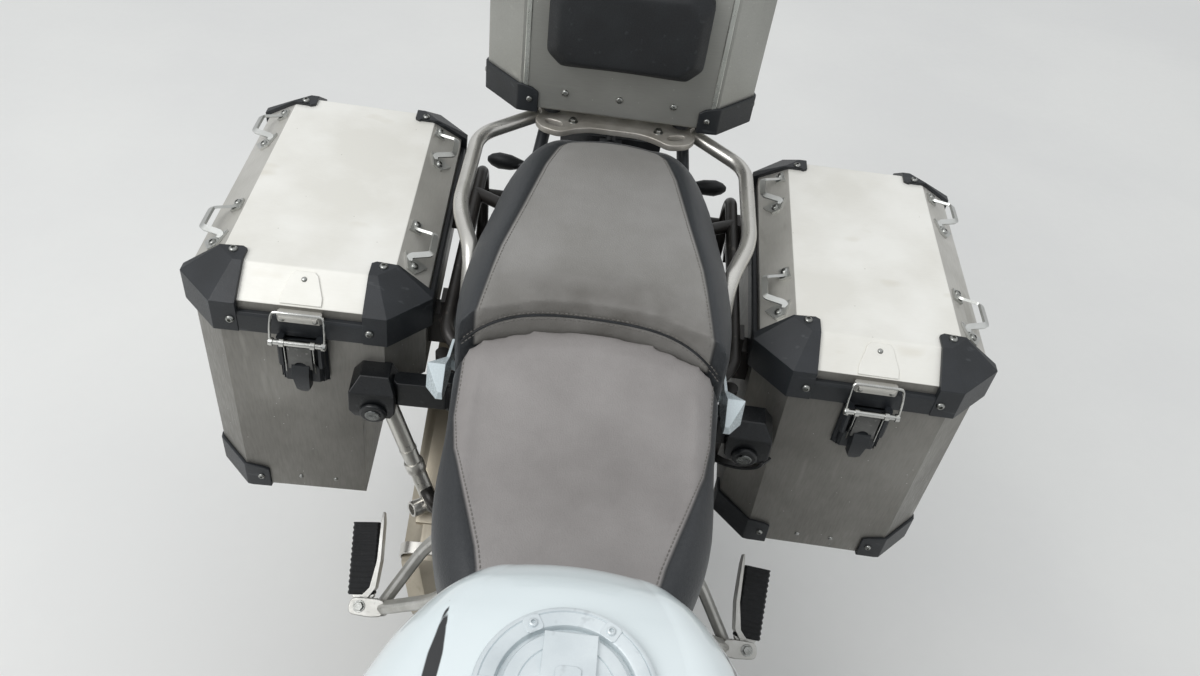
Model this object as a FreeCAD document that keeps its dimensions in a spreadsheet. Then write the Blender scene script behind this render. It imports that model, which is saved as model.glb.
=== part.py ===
"""A large flat-twin adventure motorcycle with aluminium cases, standing on its centre stand.

Row frame in millimetres: +Z up, -Y is the way the machine faces, +X is its left side.
The origin is on the floor, at the middle of the machine's length and width.
Places along Y are written as distances behind the rear axle, so those ahead of it are minus.
"""
import FreeCAD, Part
import math
import os
from types import SimpleNamespace

from FreeCAD import Placement, Rotation, Vector

doc = FreeCAD.newDocument("motorcycle")

# Driving sizes. Each one is a cell of the sheet, under its own name.
SIZES = {
    # stance
    "wheelbase": 1510,
    "rear_axle_y": 725,
    "stand_lift": 22,
    "fork_rake": 25.5,
    "fork_offset": 56,
    # tyres and rims
    "front_tyre_r": 325,
    "front_tyre_w": 120,
    "front_rim_r": 241,
    "front_rim_w": 76,
    "rear_tyre_r": 318,
    "rear_tyre_w": 170,
    "rear_rim_r": 216,
    "rear_rim_w": 118,
    "tyre_wall": 9,
    "rim_wall": 5,
    "spoke_r": 2.4,
    "hub_r": 34,
    "rear_hub_r": 62,
    "axle_r": 13,
    "axle_bore_r": 9,
    "rear_bore_r": 25,
    "hub_flange_r": 48,
    "rear_flange_r": 82,
    # brakes
    "front_disc_r": 152,
    "rear_disc_r": 138,
    "disc_thick": 5,
    "front_disc_x": 66,
    "rear_disc_x": 50,
    # fork
    "leg_x": 108,
    "leg_behind": 26,
    "slider_r": 30,
    "slider_top": 410,
    "stanchion_r": 22,
    "stanchion_top": 838,
    "lower_bridge_z": 452,
    "upper_bridge_z": 812,
    "bridge_thick": 26,
    "head_r": 34,
    "head_low": 715,
    "head_high": 793,
    "stem_r": 15,
    # handlebar
    "bar_r": 14,
    "bar_end_r": 11,
    "grip_r": 17,
    "grip_long": 122,
    # engine
    "crank_behind": -852,
    "crank_z": 452,
    "case_half_w": 128,
    "cylinder_r": 66,
    "fin_r": 84,
    "fin_thick": 4,
    "fin_pitch": 13,
    "fin_count": 5,
    "head_out": 300,
    "cover_out": 372,
    "cylinder_stagger": 18,
    # frame tubes
    "frame_tube_r": 15,
    "rear_tube_r": 11,
    "bar_guard_r": 12.5,
    # exhaust
    "header_r": 21,
    "silencer_x": 170,
    "silencer_half_w": 56,
    "silencer_half_h": 66,
    # cases at the sides
    "case_long": 456,
    "case_wide": 280,
    "case_high": 306,
    "case_corner": 44,
    "case_wall": 3,
    "case_inner_x": 218,
    "case_bottom_z": 524,
    "case_middle": -104,
    "case_toe": 3.5,
    "case_lean": 2.5,
    "lid_band": 30,
    "lid_lip": 13,
    "lid_slope_in": 40,
    "lid_slope_up": 27,
    "band_proud": 8,
    "lid_gap": 0.4,
    "exhaust_notch": 74,
    "exhaust_notch_high": 216,
    # case on the rack
    "box_half_w": 186,
    "box_long": 372,
    "box_front": 4,
    "box_bottom_z": 980,
    "box_high": 236,
    "box_corner": 50,
    "box_lid_high": 62,
    # rack and rails
    "rack_z": 954,
    "rack_thick": 9,
    "rail_r": 10,
    "carrier_r": 9,
    "carrier_x": 184,
    # saddle
    "seat_step": -372,
    "seat_step_r": 390,
    "seat_gap": 3,
    # stands and pegs
    "stand_leg_r": 13,
    "stand_pivot_behind": -462,
    "stand_pivot_z": 272,
    "stand_foot_ahead": 34,
    "stand_foot_x": 152,
    "side_stand_r": 12,
    "peg_r": 13,
    "running_gap": 0.3,
}

sheet = doc.addObject("Spreadsheet::Sheet", "sizes")
for row, (alias, value) in enumerate(SIZES.items(), start=1):
    sheet.set(f"A{row}", alias)
    sheet.set(f"B{row}", str(value))
    sheet.setAlias(f"B{row}", alias)
doc.recompute()
d = SimpleNamespace(**{alias: float(sheet.get(alias)) for alias in SIZES})

front_axle = Vector(0, d.rear_axle_y - d.wheelbase, d.front_tyre_r)
rear_axle = Vector(0, d.rear_axle_y, d.rear_tyre_r + d.stand_lift)
AXIS_X = Vector(1, 0, 0)
AXIS_Y = Vector(0, 1, 0)
AXIS_Z = Vector(0, 0, 1)
SIDES = (("left", 1), ("right", -1))
fork_place = Placement(front_axle, Rotation(AXIS_X, -d.fork_rake))
nodes = {}


def at(x, behind, z):
    """A point of the row frame, given how far behind the rear axle it is."""
    return Vector(x, d.rear_axle_y + behind, z)


def bind(thing, **expressions):
    """Binds properties of a document object to cells of the sheet."""
    for prop, expression in expressions.items():
        thing.setExpression(prop, expression)
    return thing


def feature(name, shape):
    """A document object with a shape made by Part's own functions."""
    thing = doc.addObject("Part::Feature", name)
    thing.Shape = shape
    return thing


def rod(name, start, end, radius):
    """A round bar between two points; radius is an expression of cells."""
    thing = doc.addObject("Part::Cylinder", name)
    thing.Height = (end - start).Length
    thing.setExpression("Radius", radius)
    thing.Placement = Placement(start, Rotation(AXIS_Z, end - start))
    return thing


def slab(name, low, high):
    """A box between two corners."""
    thing = doc.addObject("Part::Box", name)
    thing.Length = high.x - low.x
    thing.Width = high.y - low.y
    thing.Height = high.z - low.z
    thing.Placement = Placement(low, Rotation())
    return thing


def join(name, things):
    """Several document objects fused into one."""
    if len(things) == 1:
        return things[0]
    thing = doc.addObject("Part::MultiFuse", name)
    thing.Shapes = things
    return thing


def cut(name, base, tool):
    """One document object with another taken out of it."""
    thing = doc.addObject("Part::Cut", name)
    thing.Base = base
    thing.Tool = tool
    return thing


def bent_path(points, bend):
    """A wire of straight runs joined by tangent arcs, each as large as its runs allow up to bend."""
    edges = []
    start = points[0]
    for before, corner, after in zip(points, points[1:], points[2:]):
        into = (before - corner).normalize()
        out = (after - corner).normalize()
        half_turn = (math.pi - into.getAngle(out)) / 2
        shorter = min((before - corner).Length, (after - corner).Length)
        back = min(bend * math.tan(half_turn), 0.45 * shorter)
        radius = back / math.tan(half_turn)
        entry = corner + into * back
        leave = corner + out * back
        inward = (into + out).normalize()
        middle = corner + inward * (math.hypot(radius, back) - radius)
        edges.append(Part.LineSegment(start, entry).toShape())
        edges.append(Part.Arc(entry, middle, leave).toShape())
        start = leave
    edges.append(Part.LineSegment(start, points[-1]).toShape())
    return Part.Wire(edges)


def pipe(name, points, radius, bend=60):
    """A bent bar: a swept ring whose radius is an expression of cells."""
    if len(points) == 2:
        return rod(name, points[0], points[1], radius)
    wire = bent_path(points, bend)
    path = feature(name + "_path", wire)
    ring = doc.addObject("Part::Circle", name + "_ring")
    ring.setExpression("Radius", radius)
    ring.Placement = Placement(points[0], Rotation(AXIS_Z, points[1] - points[0]))
    thing = doc.addObject("Part::Sweep", name)
    thing.Sections = [ring]
    thing.Spine = (path, [f"Edge{i + 1}" for i in range(len(wire.Edges))])
    thing.Solid = True
    thing.Frenet = False
    return thing


def loft(name, wires, ruled=False):
    """A solid through closed wires."""
    sections = [feature(f"{name}_{i}", wire) for i, wire in enumerate(wires)]
    thing = doc.addObject("Part::Loft", name)
    thing.Sections = sections
    thing.Solid = True
    thing.Ruled = ruled
    return thing


def polygon(points):
    return Part.makePolygon(points + [points[0]])


def prism(name, points, thickness, direction):
    """A plate with a straight-sided outline, thickness thick towards direction."""
    outline = feature(name + "_outline", polygon(points))
    thing = doc.addObject("Part::Extrusion", name)
    thing.Base = outline
    thing.Dir = direction
    thing.DirMode = "Custom"
    thing.LengthFwd = thickness
    thing.Solid = True
    return thing


def sketch_body(name, plane, geometry):
    """A PartDesign body with one sketch on an origin plane."""
    body = doc.addObject("PartDesign::Body", name)
    outline = body.newObject("Sketcher::SketchObject", name + "_sketch")
    origin_plane = [o for o in body.Origin.OriginFeatures if o.Role == plane][0]
    outline.AttachmentSupport = (origin_plane, [""])
    outline.MapMode = "FlatFace"
    for piece in geometry:
        outline.addGeometry(piece, False)
    return body, outline


def ring_of(points):
    """Line segments of a closed outline in a sketch's plane."""
    return [
        Part.LineSegment(Vector(*a, 0), Vector(*b, 0))
        for a, b in zip(points, points[1:] + points[:1])
    ]


def turned(name, geometry, place):
    """A body turned about X: the sketch has x along the axle and y outwards."""
    body, outline = sketch_body(name, "XY_Plane", geometry)
    spin = body.newObject("PartDesign::Revolution", name + "_turn")
    spin.Profile = outline
    spin.ReferenceAxis = (outline, ["H_Axis"])
    spin.Angle = 360
    body.Placement = place
    return body


def keep(node, thing, place=None):
    """Names a finished piece as a node."""
    if place is not None:
        thing.Placement = place.multiply(thing.Placement)
    thing.Label = node
    nodes[node] = thing
    return thing


def arch(behind, half_w, low, side, top, flat, crown=6):
    """A section across the machine: flat floor, upright sides, round shoulders, crowned top."""
    shoulder = Vector(
        flat + (half_w - flat) * 0.74, 0, side + (top - side) * 0.72
    )
    place = Vector(0, d.rear_axle_y + behind, 0)

    def p(x, z):
        return place + Vector(x, 0, z)

    edges = [
        Part.LineSegment(p(-half_w, low), p(half_w, low)).toShape(),
        Part.LineSegment(p(half_w, low), p(half_w, side)).toShape(),
        Part.Arc(p(half_w, side), p(shoulder.x, shoulder.z), p(flat, top)).toShape(),
        Part.Arc(p(flat, top), p(0, top + crown), p(-flat, top)).toShape(),
        Part.Arc(p(-flat, top), p(-shoulder.x, shoulder.z), p(-half_w, side)).toShape(),
        Part.LineSegment(p(-half_w, side), p(-half_w, low)).toShape(),
    ]
    return Part.Wire(edges)


# Wheels
def tyre(node, place, radius, width, rim_r, bead_w):
    """A hollow tyre: sidewalls and tread as arcs, with the wall's thickness all round."""
    bead_r = rim_r + d.running_gap
    bead_x = bead_w / 2
    shoulder = Vector(0.43 * width, radius - 0.12 * width, 0)
    belly = Vector(width / 2, (rim_r + radius) / 2 + 2, 0)

    def side(sign, inset):
        start = Vector(sign * (bead_x - inset), bead_r, 0)
        middle = Vector(sign * (belly.x - inset), belly.y, 0)
        end = Vector(sign * (shoulder.x - inset), shoulder.y - inset, 0)
        return start, middle, end

    geometry = []
    for inset in (0, d.tyre_wall):
        right = side(1, inset)
        left = side(-1, inset)
        geometry.append(Part.Arc(*right))
        geometry.append(Part.Arc(right[2], Vector(0, radius - inset, 0), left[2]))
        geometry.append(Part.Arc(*left))
    for sign in (1, -1):
        geometry.append(Part.LineSegment(side(sign, 0)[0], side(sign, d.tyre_wall)[0]))
    keep(node, turned(node, geometry, place))


def wheel(node, place, rim_r, rim_w, hub_r, flange_r, flanges, ends, spoke_x, bore, count):
    """A wire wheel: rim with raised edges, hub with two flanges, and crossed spokes."""
    half = rim_w / 2
    bed = rim_r - 13
    low = bed - d.rim_wall
    rim = turned(node + "_rim", ring_of([
        (-half, rim_r), (-half, low), (half, low), (half, rim_r),
        (half - d.rim_wall, rim_r), (half - d.rim_wall, bed),
        (d.rim_wall - half, bed), (d.rim_wall - half, rim_r),
    ]), Placement())
    thick = 7
    near, far = flanges
    hub = turned(node + "_hub", ring_of([
        (ends[0], bore), (ends[1], bore), (ends[1], hub_r), (far, hub_r), (far, flange_r),
        (far - thick, flange_r), (far - 2 * thick, hub_r), (near + 2 * thick, hub_r),
        (near + thick, flange_r), (near, flange_r), (near, hub_r), (ends[0], hub_r),
    ]), Placement())
    pieces = [rim, hub]
    for i in range(count):
        side = 1 if i % 2 else -1
        lean = 1 if (i // 2) % 2 else -1
        turn = 360 * i / count
        hub_x = (far - thick / 2) if side > 0 else (near + thick / 2)
        start = Rotation(AXIS_X, turn).multVec(Vector(hub_x, 0, flange_r - 5))
        end = Rotation(AXIS_X, turn + lean * 22).multVec(Vector(side * spoke_x, 0, low + 1))
        pieces.append(rod(f"{node}_spoke_{i}", start, end, "sizes.spoke_r"))
    return keep(node, join(node + "_whole", pieces), place)


def disc(node, xs, outer, inner, place):
    """Brake discs: a braking ring on a spider, with two rings of round holes."""
    made = []
    for i, x in enumerate(xs):
        body, outline = sketch_body(
            f"{node}_{i}", "YZ_Plane",
            [Part.Circle(Vector(), AXIS_Z, outer), Part.Circle(Vector(), AXIS_Z, inner)],
        )
        pad = body.newObject("PartDesign::Pad", f"{node}_{i}_pad")
        pad.Profile = outline
        bind(pad, Length="sizes.disc_thick")
        doc.recompute()
        holes = body.newObject("Sketcher::SketchObject", f"{node}_{i}_holes")
        origin_plane = [o for o in body.Origin.OriginFeatures if o.Role == "YZ_Plane"][0]
        holes.AttachmentSupport = (origin_plane, [""])
        holes.MapMode = "FlatFace"
        window_r = 0.5 * (inner + outer - 36) + 4
        holes.addGeometry(Part.Circle(Vector(outer - 17, 0, 0), AXIS_Z, 6), False)
        holes.addGeometry(Part.Circle(Vector(window_r, 0, 0), AXIS_Z, 0.24 * window_r), False)
        pocket = body.newObject("PartDesign::Pocket", f"{node}_{i}_pocket")
        pocket.Profile = holes
        pocket.Type = "ThroughAll"
        pocket.Midplane = True
        pattern = body.newObject("PartDesign::PolarPattern", f"{node}_{i}_round")
        pattern.Originals = [pocket]
        pattern.Axis = (outline, ["N_Axis"])
        pattern.Angle = 360
        pattern.Occurrences = 10
        body.Tip = pattern
        body.Placement = Placement(Vector(x - d.disc_thick / 2, 0, 0), Rotation())
        made.append(body)
    doc.recompute()
    keep(node, join(node + "_pair", made), place)


front_place = Placement(front_axle, Rotation())
rear_place = Placement(rear_axle, Rotation())
tyre("front_tyre", front_place, d.front_tyre_r, d.front_tyre_w, d.front_rim_r, d.front_rim_w)
tyre("rear_tyre", rear_place, d.rear_tyre_r, d.rear_tyre_w, d.rear_rim_r, d.rear_rim_w)
front_boss = d.front_disc_x - d.disc_thick / 2
rear_boss = d.rear_disc_x - d.disc_thick / 2
wheel("front_wheel", front_place, d.front_rim_r, d.front_rim_w, d.hub_r, d.hub_flange_r,
      (-45, 45), (-front_boss, front_boss), 26, d.axle_r + d.running_gap, 28)
wheel("rear_wheel", rear_place, d.rear_rim_r, d.rear_rim_w, d.rear_hub_r, d.rear_flange_r,
      (-52, 20), (-60, rear_boss), 30, d.rear_bore_r, 28)
disc("front_discs", (-d.front_disc_x, d.front_disc_x), d.front_disc_r, d.axle_r + 6, front_place)
disc("rear_disc", (d.rear_disc_x,), d.rear_disc_r, d.rear_bore_r + 6, rear_place)

# Fork, in its own frame: the axle at the origin and z up along the steering axis
axis_y = d.fork_offset
leg_y = d.leg_behind


def local(x, y, z):
    return Vector(x, y, z)


fork = [cut(
    "fork_axle",
    rod("fork_axle_bar", local(-140, 0, 0), local(140, 0, 0), "sizes.axle_r"),
    rod("fork_axle_bore", local(-150, 0, 0), local(150, 0, 0), "sizes.axle_bore_r"),
)]
for side, sign in SIDES:
    x = sign * d.leg_x
    lug = rod(f"fork_lug_{side}", local(x - 24, 0, 0), local(x + 24, 0, 0), "sizes.axle_r * 2")
    slider = rod(f"fork_slider_{side}", local(x, leg_y, -24), local(x, leg_y, d.slider_top), "sizes.slider_r")
    foot = cut(
        f"fork_foot_{side}", join(f"fork_foot_{side}_metal", [lug, slider]),
        rod(f"fork_foot_{side}_bore", local(x - 40, 0, 0), local(x + 40, 0, 0), "sizes.axle_r"),
    )
    fork.append(foot)
    fork.append(rod(
        f"fork_stanchion_{side}", local(x, leg_y, d.slider_top - 60),
        local(x, leg_y, d.stanchion_top), "sizes.stanchion_r",
    ))
    caliper = slab(
        f"fork_caliper_{side}",
        Vector(min(sign * 44, sign * 100), leg_y + 26, 60),
        Vector(max(sign * 44, sign * 100), leg_y + 92, 150),
    )
    slot = slab(
        f"fork_caliper_{side}_slot",
        Vector(sign * d.front_disc_x - 7.5, leg_y + 20, 40),
        Vector(sign * d.front_disc_x + 7.5, leg_y + 98, 146),
    )
    fork.append(cut(f"fork_caliper_{side}_cut", caliper, slot))
half_bridge = d.bridge_thick / 2
for name, middle, reach in (("lower", d.lower_bridge_z, 34), ("upper", d.upper_bridge_z, 34)):
    fork.append(prism(f"fork_bridge_{name}", [
        local(-d.leg_x - reach, leg_y - 30, middle - half_bridge),
        local(d.leg_x + reach, leg_y - 30, middle - half_bridge),
        local(d.leg_x + reach, leg_y + 26, middle - half_bridge),
        local(46, axis_y + 30, middle - half_bridge),
        local(-46, axis_y + 30, middle - half_bridge),
        local(-d.leg_x - reach, leg_y + 26, middle - half_bridge),
    ], d.bridge_thick, AXIS_Z))
fork.append(rod("fork_stem", local(0, axis_y, d.head_low - 20), local(0, axis_y, d.upper_bridge_z), "sizes.stem_r"))
keep("fork_legs", join("fork_whole", fork), fork_place)

mudguard, _ = sketch_body("mudguard", "XY_Plane", ring_of([
    (-68, d.front_tyre_r - 10), (-68, d.front_tyre_r + 22), (68, d.front_tyre_r + 22), (68, d.front_tyre_r - 10),
    (64, d.front_tyre_r - 10), (64, d.front_tyre_r + 18), (-64, d.front_tyre_r + 18), (-64, d.front_tyre_r - 10),
]))
spin = mudguard.newObject("PartDesign::Revolution", "mudguard_turn")
spin.Profile = _
spin.ReferenceAxis = (_, ["H_Axis"])
spin.Angle = 110
mudguard.Placement = Placement(Vector(), Rotation(AXIS_X, 52))
guard = [mudguard]
for side, sign in SIDES:
    guard.append(slab(
        f"mudguard_stay_{side}",
        Vector(min(sign * 66, sign * 84), leg_y - 18, d.front_tyre_r - 6),
        Vector(max(sign * 66, sign * 84), leg_y + 18, d.front_tyre_r + 20),
    ))
keep("front_fender", join("mudguard_whole", guard), fork_place)

# Engine: the block, two finned barrels and their heads
crank = at(0, d.crank_behind, d.crank_z)
case_side = [(-1054, 300), (-1054, 520), (-985, 610), (-700, 618), (-690, 590), (-690, 242), (-1000, 242)]
box_side = [(-695, 610), (-610, 590), (-585, 540), (-585, 350), (-640, 330), (-695, 330)]
block = prism("engine_block", [at(-d.case_half_w, y, z) for y, z in case_side], 2 * d.case_half_w, AXIS_X)
gearbox = prism("engine_gearbox", [at(-80, y, z) for y, z in box_side], 160, AXIS_X)
engine = [block, gearbox, rod("engine_front_cover", at(0, -1054 + 10, d.crank_z), at(0, -1080, d.crank_z), "sizes.case_half_w * 0.86")]
covers = []
for side, sign in SIDES:
    middle = crank + Vector(0, sign * d.cylinder_stagger, 0)

    def out(x, y=0, z=0):
        return middle + Vector(sign * x, y, z)

    engine.append(rod(f"barrel_{side}", out(d.case_half_w - 8), out(236), "sizes.cylinder_r"))
    for i in range(int(d.fin_count)):
        x = d.case_half_w + 16 + i * d.fin_pitch
        engine.append(rod(f"fin_{side}_{i}", out(x), out(x + d.fin_thick), "sizes.fin_r"))
    low = out(222, -92, -86)
    high = out(d.head_out, 92, 86)
    head_block = slab(
        f"head_{side}", Vector(min(low.x, high.x), low.y, low.z), Vector(max(low.x, high.x), high.y, high.z)
    )
    port = rod(f"exhaust_port_{side}", out(262, 0, -78), out(262, 0, -100), "sizes.header_r + 7")
    engine += [head_block, port]

    def cover_ring(x, half_y, half_z, corner):
        return polygon([
            out(x, -half_y + corner, -half_z), out(x, half_y - corner, -half_z), out(x, half_y, -half_z + corner),
            out(x, half_y, half_z - corner), out(x, half_y - corner, half_z), out(x, -half_y + corner, half_z),
            out(x, -half_y, half_z - corner), out(x, -half_y, -half_z + corner),
        ])

    covers.append(loft(f"valve_cover_{side}", [
        cover_ring(d.head_out, 92, 84, 18), cover_ring(d.cover_out - 22, 84, 72, 22), cover_ring(d.cover_out, 62, 46, 24),
    ], ruled=True))
keep("engine", join("engine_whole", engine))
keep("valve_covers", join("valve_covers_whole", covers))

# Frame: the head tube, the main tubes, the rear rails and their lugs
def on_axis(x, y, z):
    """A point given in the fork's own frame."""
    return fork_place.multVec(Vector(x, y, z))


side_pivot = at(220, -640, 256)
side_axis = Vector(0.980411, 0.158959, 0.116305)
head_tube = cut(
    "head_tube",
    rod("head_tube_metal", on_axis(0, axis_y, d.head_low), on_axis(0, axis_y, d.head_high), "sizes.head_r"),
    rod("head_tube_bore", on_axis(0, axis_y, d.head_low - 5), on_axis(0, axis_y, d.head_high + 5), "sizes.stem_r + sizes.running_gap"),
)
frame = [head_tube]
head_back = on_axis(0, axis_y, (d.head_low + d.head_high) / 2)
for side, sign in SIDES:
    def p(x, y, z):
        return at(sign * x, y, z)

    frame.append(pipe(f"frame_upper_{side}", [
        head_back + Vector(sign * 14, 22, 0), p(62, -1020, 925), p(104, -900, 850), p(116, -650, 745),
        p(112, -575, 600), p(104, -575, 470),
    ], "sizes.frame_tube_r", 70))
    frame.append(pipe(f"frame_lower_{side}", [
        head_back + Vector(sign * 14, 30, -22), p(60, -1040, 800), p(96, -960, 655), p(100, -930, 585),
    ], "sizes.frame_tube_r", 70))
    frame.append(pipe(f"frame_rail_{side}", [
        p(110, -700, 765), p(122, -560, 785), p(124, -330, 815), p(112, -60, 868),
    ], "sizes.rear_tube_r", 90))
    frame.append(pipe(f"frame_stay_{side}", [
        p(108, -575, 520), p(124, -480, 630), p(126, -290, 760), p(115, -90, 858),
    ], "sizes.rear_tube_r", 90))
    frame.append(prism(f"frame_plate_{side}", [
        p(84, -610, 560), p(84, -540, 560), p(84, -500, 420), p(84, -430, 290), p(84, -440, 256),
        p(84, -500, 256), p(84, -570, 340), p(84, -620, 420),
    ], 14, Vector(sign, 0, 0)))
frame += [
    rod("frame_cross_low", at(-90, -590, 440), at(90, -590, 440), "sizes.rear_tube_r * 0.85"),
    rod("frame_cross_mid", at(-116, -620, 700), at(116, -620, 700), "sizes.rear_tube_r * 0.85"),
    rod("frame_cross_top", at(-124, -330, 815), at(124, -330, 815), "sizes.rear_tube_r * 0.85"),
    rod("frame_cross_end", at(-112, -62, 867), at(112, -62, 867), "sizes.rear_tube_r * 0.85"),
    rod("frame_cross_shock", at(-121, -545, 780), at(121, -545, 780), "sizes.rear_tube_r * 0.85"),
    rod("side_stand_arm", at(90, -604, 392), at(198, -641, 267), "12"),
    rod("side_stand_pin", side_pivot - side_axis * 22, side_pivot + side_axis * 12, "6"),
    rod("side_stand_cheek", side_pivot - side_axis * 27, side_pivot - side_axis * 14, "13"),
    rod("stand_pin", at(-121, d.stand_pivot_behind, d.stand_pivot_z), at(121, d.stand_pivot_behind, d.stand_pivot_z), "8"),
]
keep("frame", join("frame_whole", frame))

# Front carrier: from the head tube forward, and the arm below it with the front shock
bridge_top = d.lower_bridge_z + half_bridge + d.running_gap
arm = [rod("front_arm_ball", on_axis(0, axis_y, bridge_top), on_axis(0, axis_y, bridge_top + 54), "16")]
ball = on_axis(0, axis_y, bridge_top + 40)
for side, sign in SIDES:
    arm.append(pipe(f"front_arm_{side}", [ball, at(sign * 92, -1040, 560)], "13"))
arm.append(rod("front_arm_pivot", at(-110, -1040, 560), at(110, -1040, 560), "14"))
arm.append(rod("front_arm_cross", at(-62, -1110, 628), at(62, -1110, 628), "10"))
keep("front_arm", join("front_arm_whole", arm))

shocks = []
for name, low, high, wide in (
    ("front", at(0, -1110, 632), at(0, -1052, 893), 27),
    ("rear", at(0, -430, 462), at(0, -545, 776), 34),
):
    run = (high - low)
    step = run.Length / 11
    along = Vector(run).normalize()
    shocks.append(rod(f"shock_{name}_body", low, high, "13"))
    shocks.append(rod(f"shock_{name}_cup", high - along * 40, high, str(wide)))
    shocks.append(rod(f"shock_{name}_foot", low + along * 12, low + along * 24, str(wide)))
    for i in range(6):
        mid = low + along * (34 + i * (run.Length - 84) / 6)
        shocks.append(rod(f"shock_{name}_coil_{i}", mid, mid + along * 9, str(wide - 3)))
keep("shocks", join("shocks_whole", shocks))

# Swingarm with its shaft, and the final drive
hub_left = d.rear_disc_x + 10
swing = [
    loft("swing_arm", [polygon([
        at(x - w, y, z - h), at(x + w, y, z - h), at(x + w, y, z + h), at(x - w, y, z + h)
    ]) for x, y, z, w, h in ((138, -70, 352, 30, 48), (138, -330, 386, 28, 40), (134, -560, 430, 32, 46))], ruled=True),
    rod("final_drive", at(hub_left, 0, rear_axle.z), at(152, 0, rear_axle.z), "92"),
    rod("final_nose", at(138, 0, rear_axle.z), at(166, 0, rear_axle.z), "58"),
    rod("swing_pivot", at(-112, -560, 430), at(150, -560, 430), "16"),
    slab("rear_caliper", at(32, -148, 390), at(116, -90, 457)),
    rod("swing_shock_arm", at(0, -430, 452), at(130, -430, 412), "15"),
]
hub_bore = rod("final_bore", at(-80, 0, rear_axle.z), at(190, 0, rear_axle.z), "18")
spindle = rod("final_spindle", at(-48, 0, rear_axle.z), at(hub_left + 10, 0, rear_axle.z), "sizes.rear_bore_r - sizes.running_gap")
caliper_slot = slab("rear_caliper_slot", at(d.rear_disc_x - 7.5, -170, 370), at(d.rear_disc_x + 7.5, -60, 450))
swing_metal = cut("swing_metal", join("swing_solid", swing + [spindle]), join("swing_cuts", [hub_bore, caliper_slot]))
keep("swingarm", swing_metal)

# Exhaust: two headers, the link pipe and the silencer
exhaust = [
    pipe("header_left", [
        at(262, d.crank_behind + d.cylinder_stagger, 368), at(262, d.crank_behind + d.cylinder_stagger, 300),
        at(176, -770, 262), at(165, -650, 262), at(90, -604, 262), at(-120, -604, 262),
    ], "sizes.header_r", 60),
    pipe("header_right", [
        at(-262, d.crank_behind - d.cylinder_stagger, 368), at(-262, d.crank_behind - d.cylinder_stagger, 300),
        at(-176, -790, 262), at(-166, -640, 262), at(-168, -545, 296), at(-171, -440, 418),
    ], "sizes.header_r + 2", 60),
]
keep("exhaust", join("exhaust_whole", exhaust))


def can(x, behind, z, half_w, half_h):
    """One section across the silencer: straight sides and round corners."""
    c = 26
    points = [
        (-half_w + c, -half_h), (half_w - c, -half_h), (half_w, -half_h + c), (half_w, half_h - c),
        (half_w - c, half_h), (-half_w + c, half_h), (-half_w, half_h - c), (-half_w, -half_h + c),
    ]
    return polygon([at(x + a, behind - b * 0.34, z + b) for a, b in points])


silencer = [
    loft("silencer_can", [
        can(-170, -455, 412, 34, 34), can(-170, -400, 436, d.silencer_half_w, d.silencer_half_h),
        can(-182, 20, 580, d.silencer_half_w, d.silencer_half_h), can(-184, 66, 596, 44, 52),
    ], ruled=True),
    slab("silencer_shield", at(-214, -330, 540), at(-150, -200, 574)),
]
silencer[1].Placement = Placement(at(-212, -372, 512), Rotation(AXIS_X, 18.9))
silencer[1].Length, silencer[1].Width, silencer[1].Height = 84, 330, 12
outlet = rod("silencer_outlet", at(-184, 20, 580), at(-184, 110, 611), "24")
keep("silencer", cut("silencer_open", join("silencer_whole", silencer), outlet))

# Skid plate
skid = [
    prism("skid_floor", [at(-118, -1010, 222), at(-118, -1010, 216), at(-118, -700, 216), at(-118, -700, 222)], 236, AXIS_X),
    prism("skid_front", [at(-118, -1010, 216), at(-118, -1010, 222), at(-118, -1096, 372), at(-118, -1102, 370)], 236, AXIS_X),
    slab("skid_post_front", at(-60, -960, 220), at(60, -940, 242)),
    slab("skid_post_rear", at(-60, -730, 220), at(60, -712, 242)),
]
keep("skid_plate", join("skid_whole", skid))

# Radiators and their side scoops
cooling = []
for side, sign in SIDES:
    def p(x, y, z):
        return at(sign * x, y, z)

    cooling.append(prism(f"radiator_{side}", [
        p(158, -1130, 620), p(246, -1130, 620), p(246, -1100, 850), p(158, -1100, 850),
    ], 34, AXIS_Y))
    cooling.append(rod(f"radiator_hose_{side}", p(170, -1092, 640), p(104, -1010, 600), "13"))
    cooling.append(rod(f"radiator_stay_{side}", p(166, -1080, 830), p(80, -1000, 895), "8"))
keep("radiators", join("radiators_whole", cooling))

# Tank and its covers
tank = loft("tank_block", [
    arch(-1000, 92, 800, 900, 985, 60), arch(-900, 124, 790, 925, 1036, 70), arch(-815, 108, 792, 905, 1010, 56),
    arch(-758, 72, 815, 870, 945, 36),
])
neck = rod("tank_neck", at(0, -851, 1030), at(0, -851, 1100), "30")
keep("fuel_tank", cut("tank_open", tank, neck))

cover_stations = (
    # behind, half width, lower edge, side height, top, flat half width
    (-1026, 112, 905, 978, 1042, 74),
    (-960, 160, 870, 975, 1066, 86),
    (-880, 152, 862, 955, 1070, 84),
    (-830, 140, 858, 945, 1066, 76),
    (-790, 122, 856, 935, 1054, 64),
    (-760, 100, 870, 928, 1036, 50),
    (-738, 74, 892, 932, 1008, 36),
    (-722, 52, 915, 940, 975, 24),
)
skin = loft("cover_outer", [arch(*station) for station in cover_stations], ruled=True)
inner_skin = loft("cover_inner", [
    arch(y + (-2 if i == 0 else 2 if i == len(cover_stations) - 1 else 0), w - 4, low - 6, side_z - 2, top - 4, flat - 1)
    for i, (y, w, low, side_z, top, flat) in enumerate(cover_stations)
], ruled=True)
filler_hole = rod("filler_hole", at(0, -851, 1000), at(0, -851, 1120), "59")
keep("tank_covers", cut("cover_shell", skin, join("cover_cuts", [inner_skin, filler_hole])))
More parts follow.
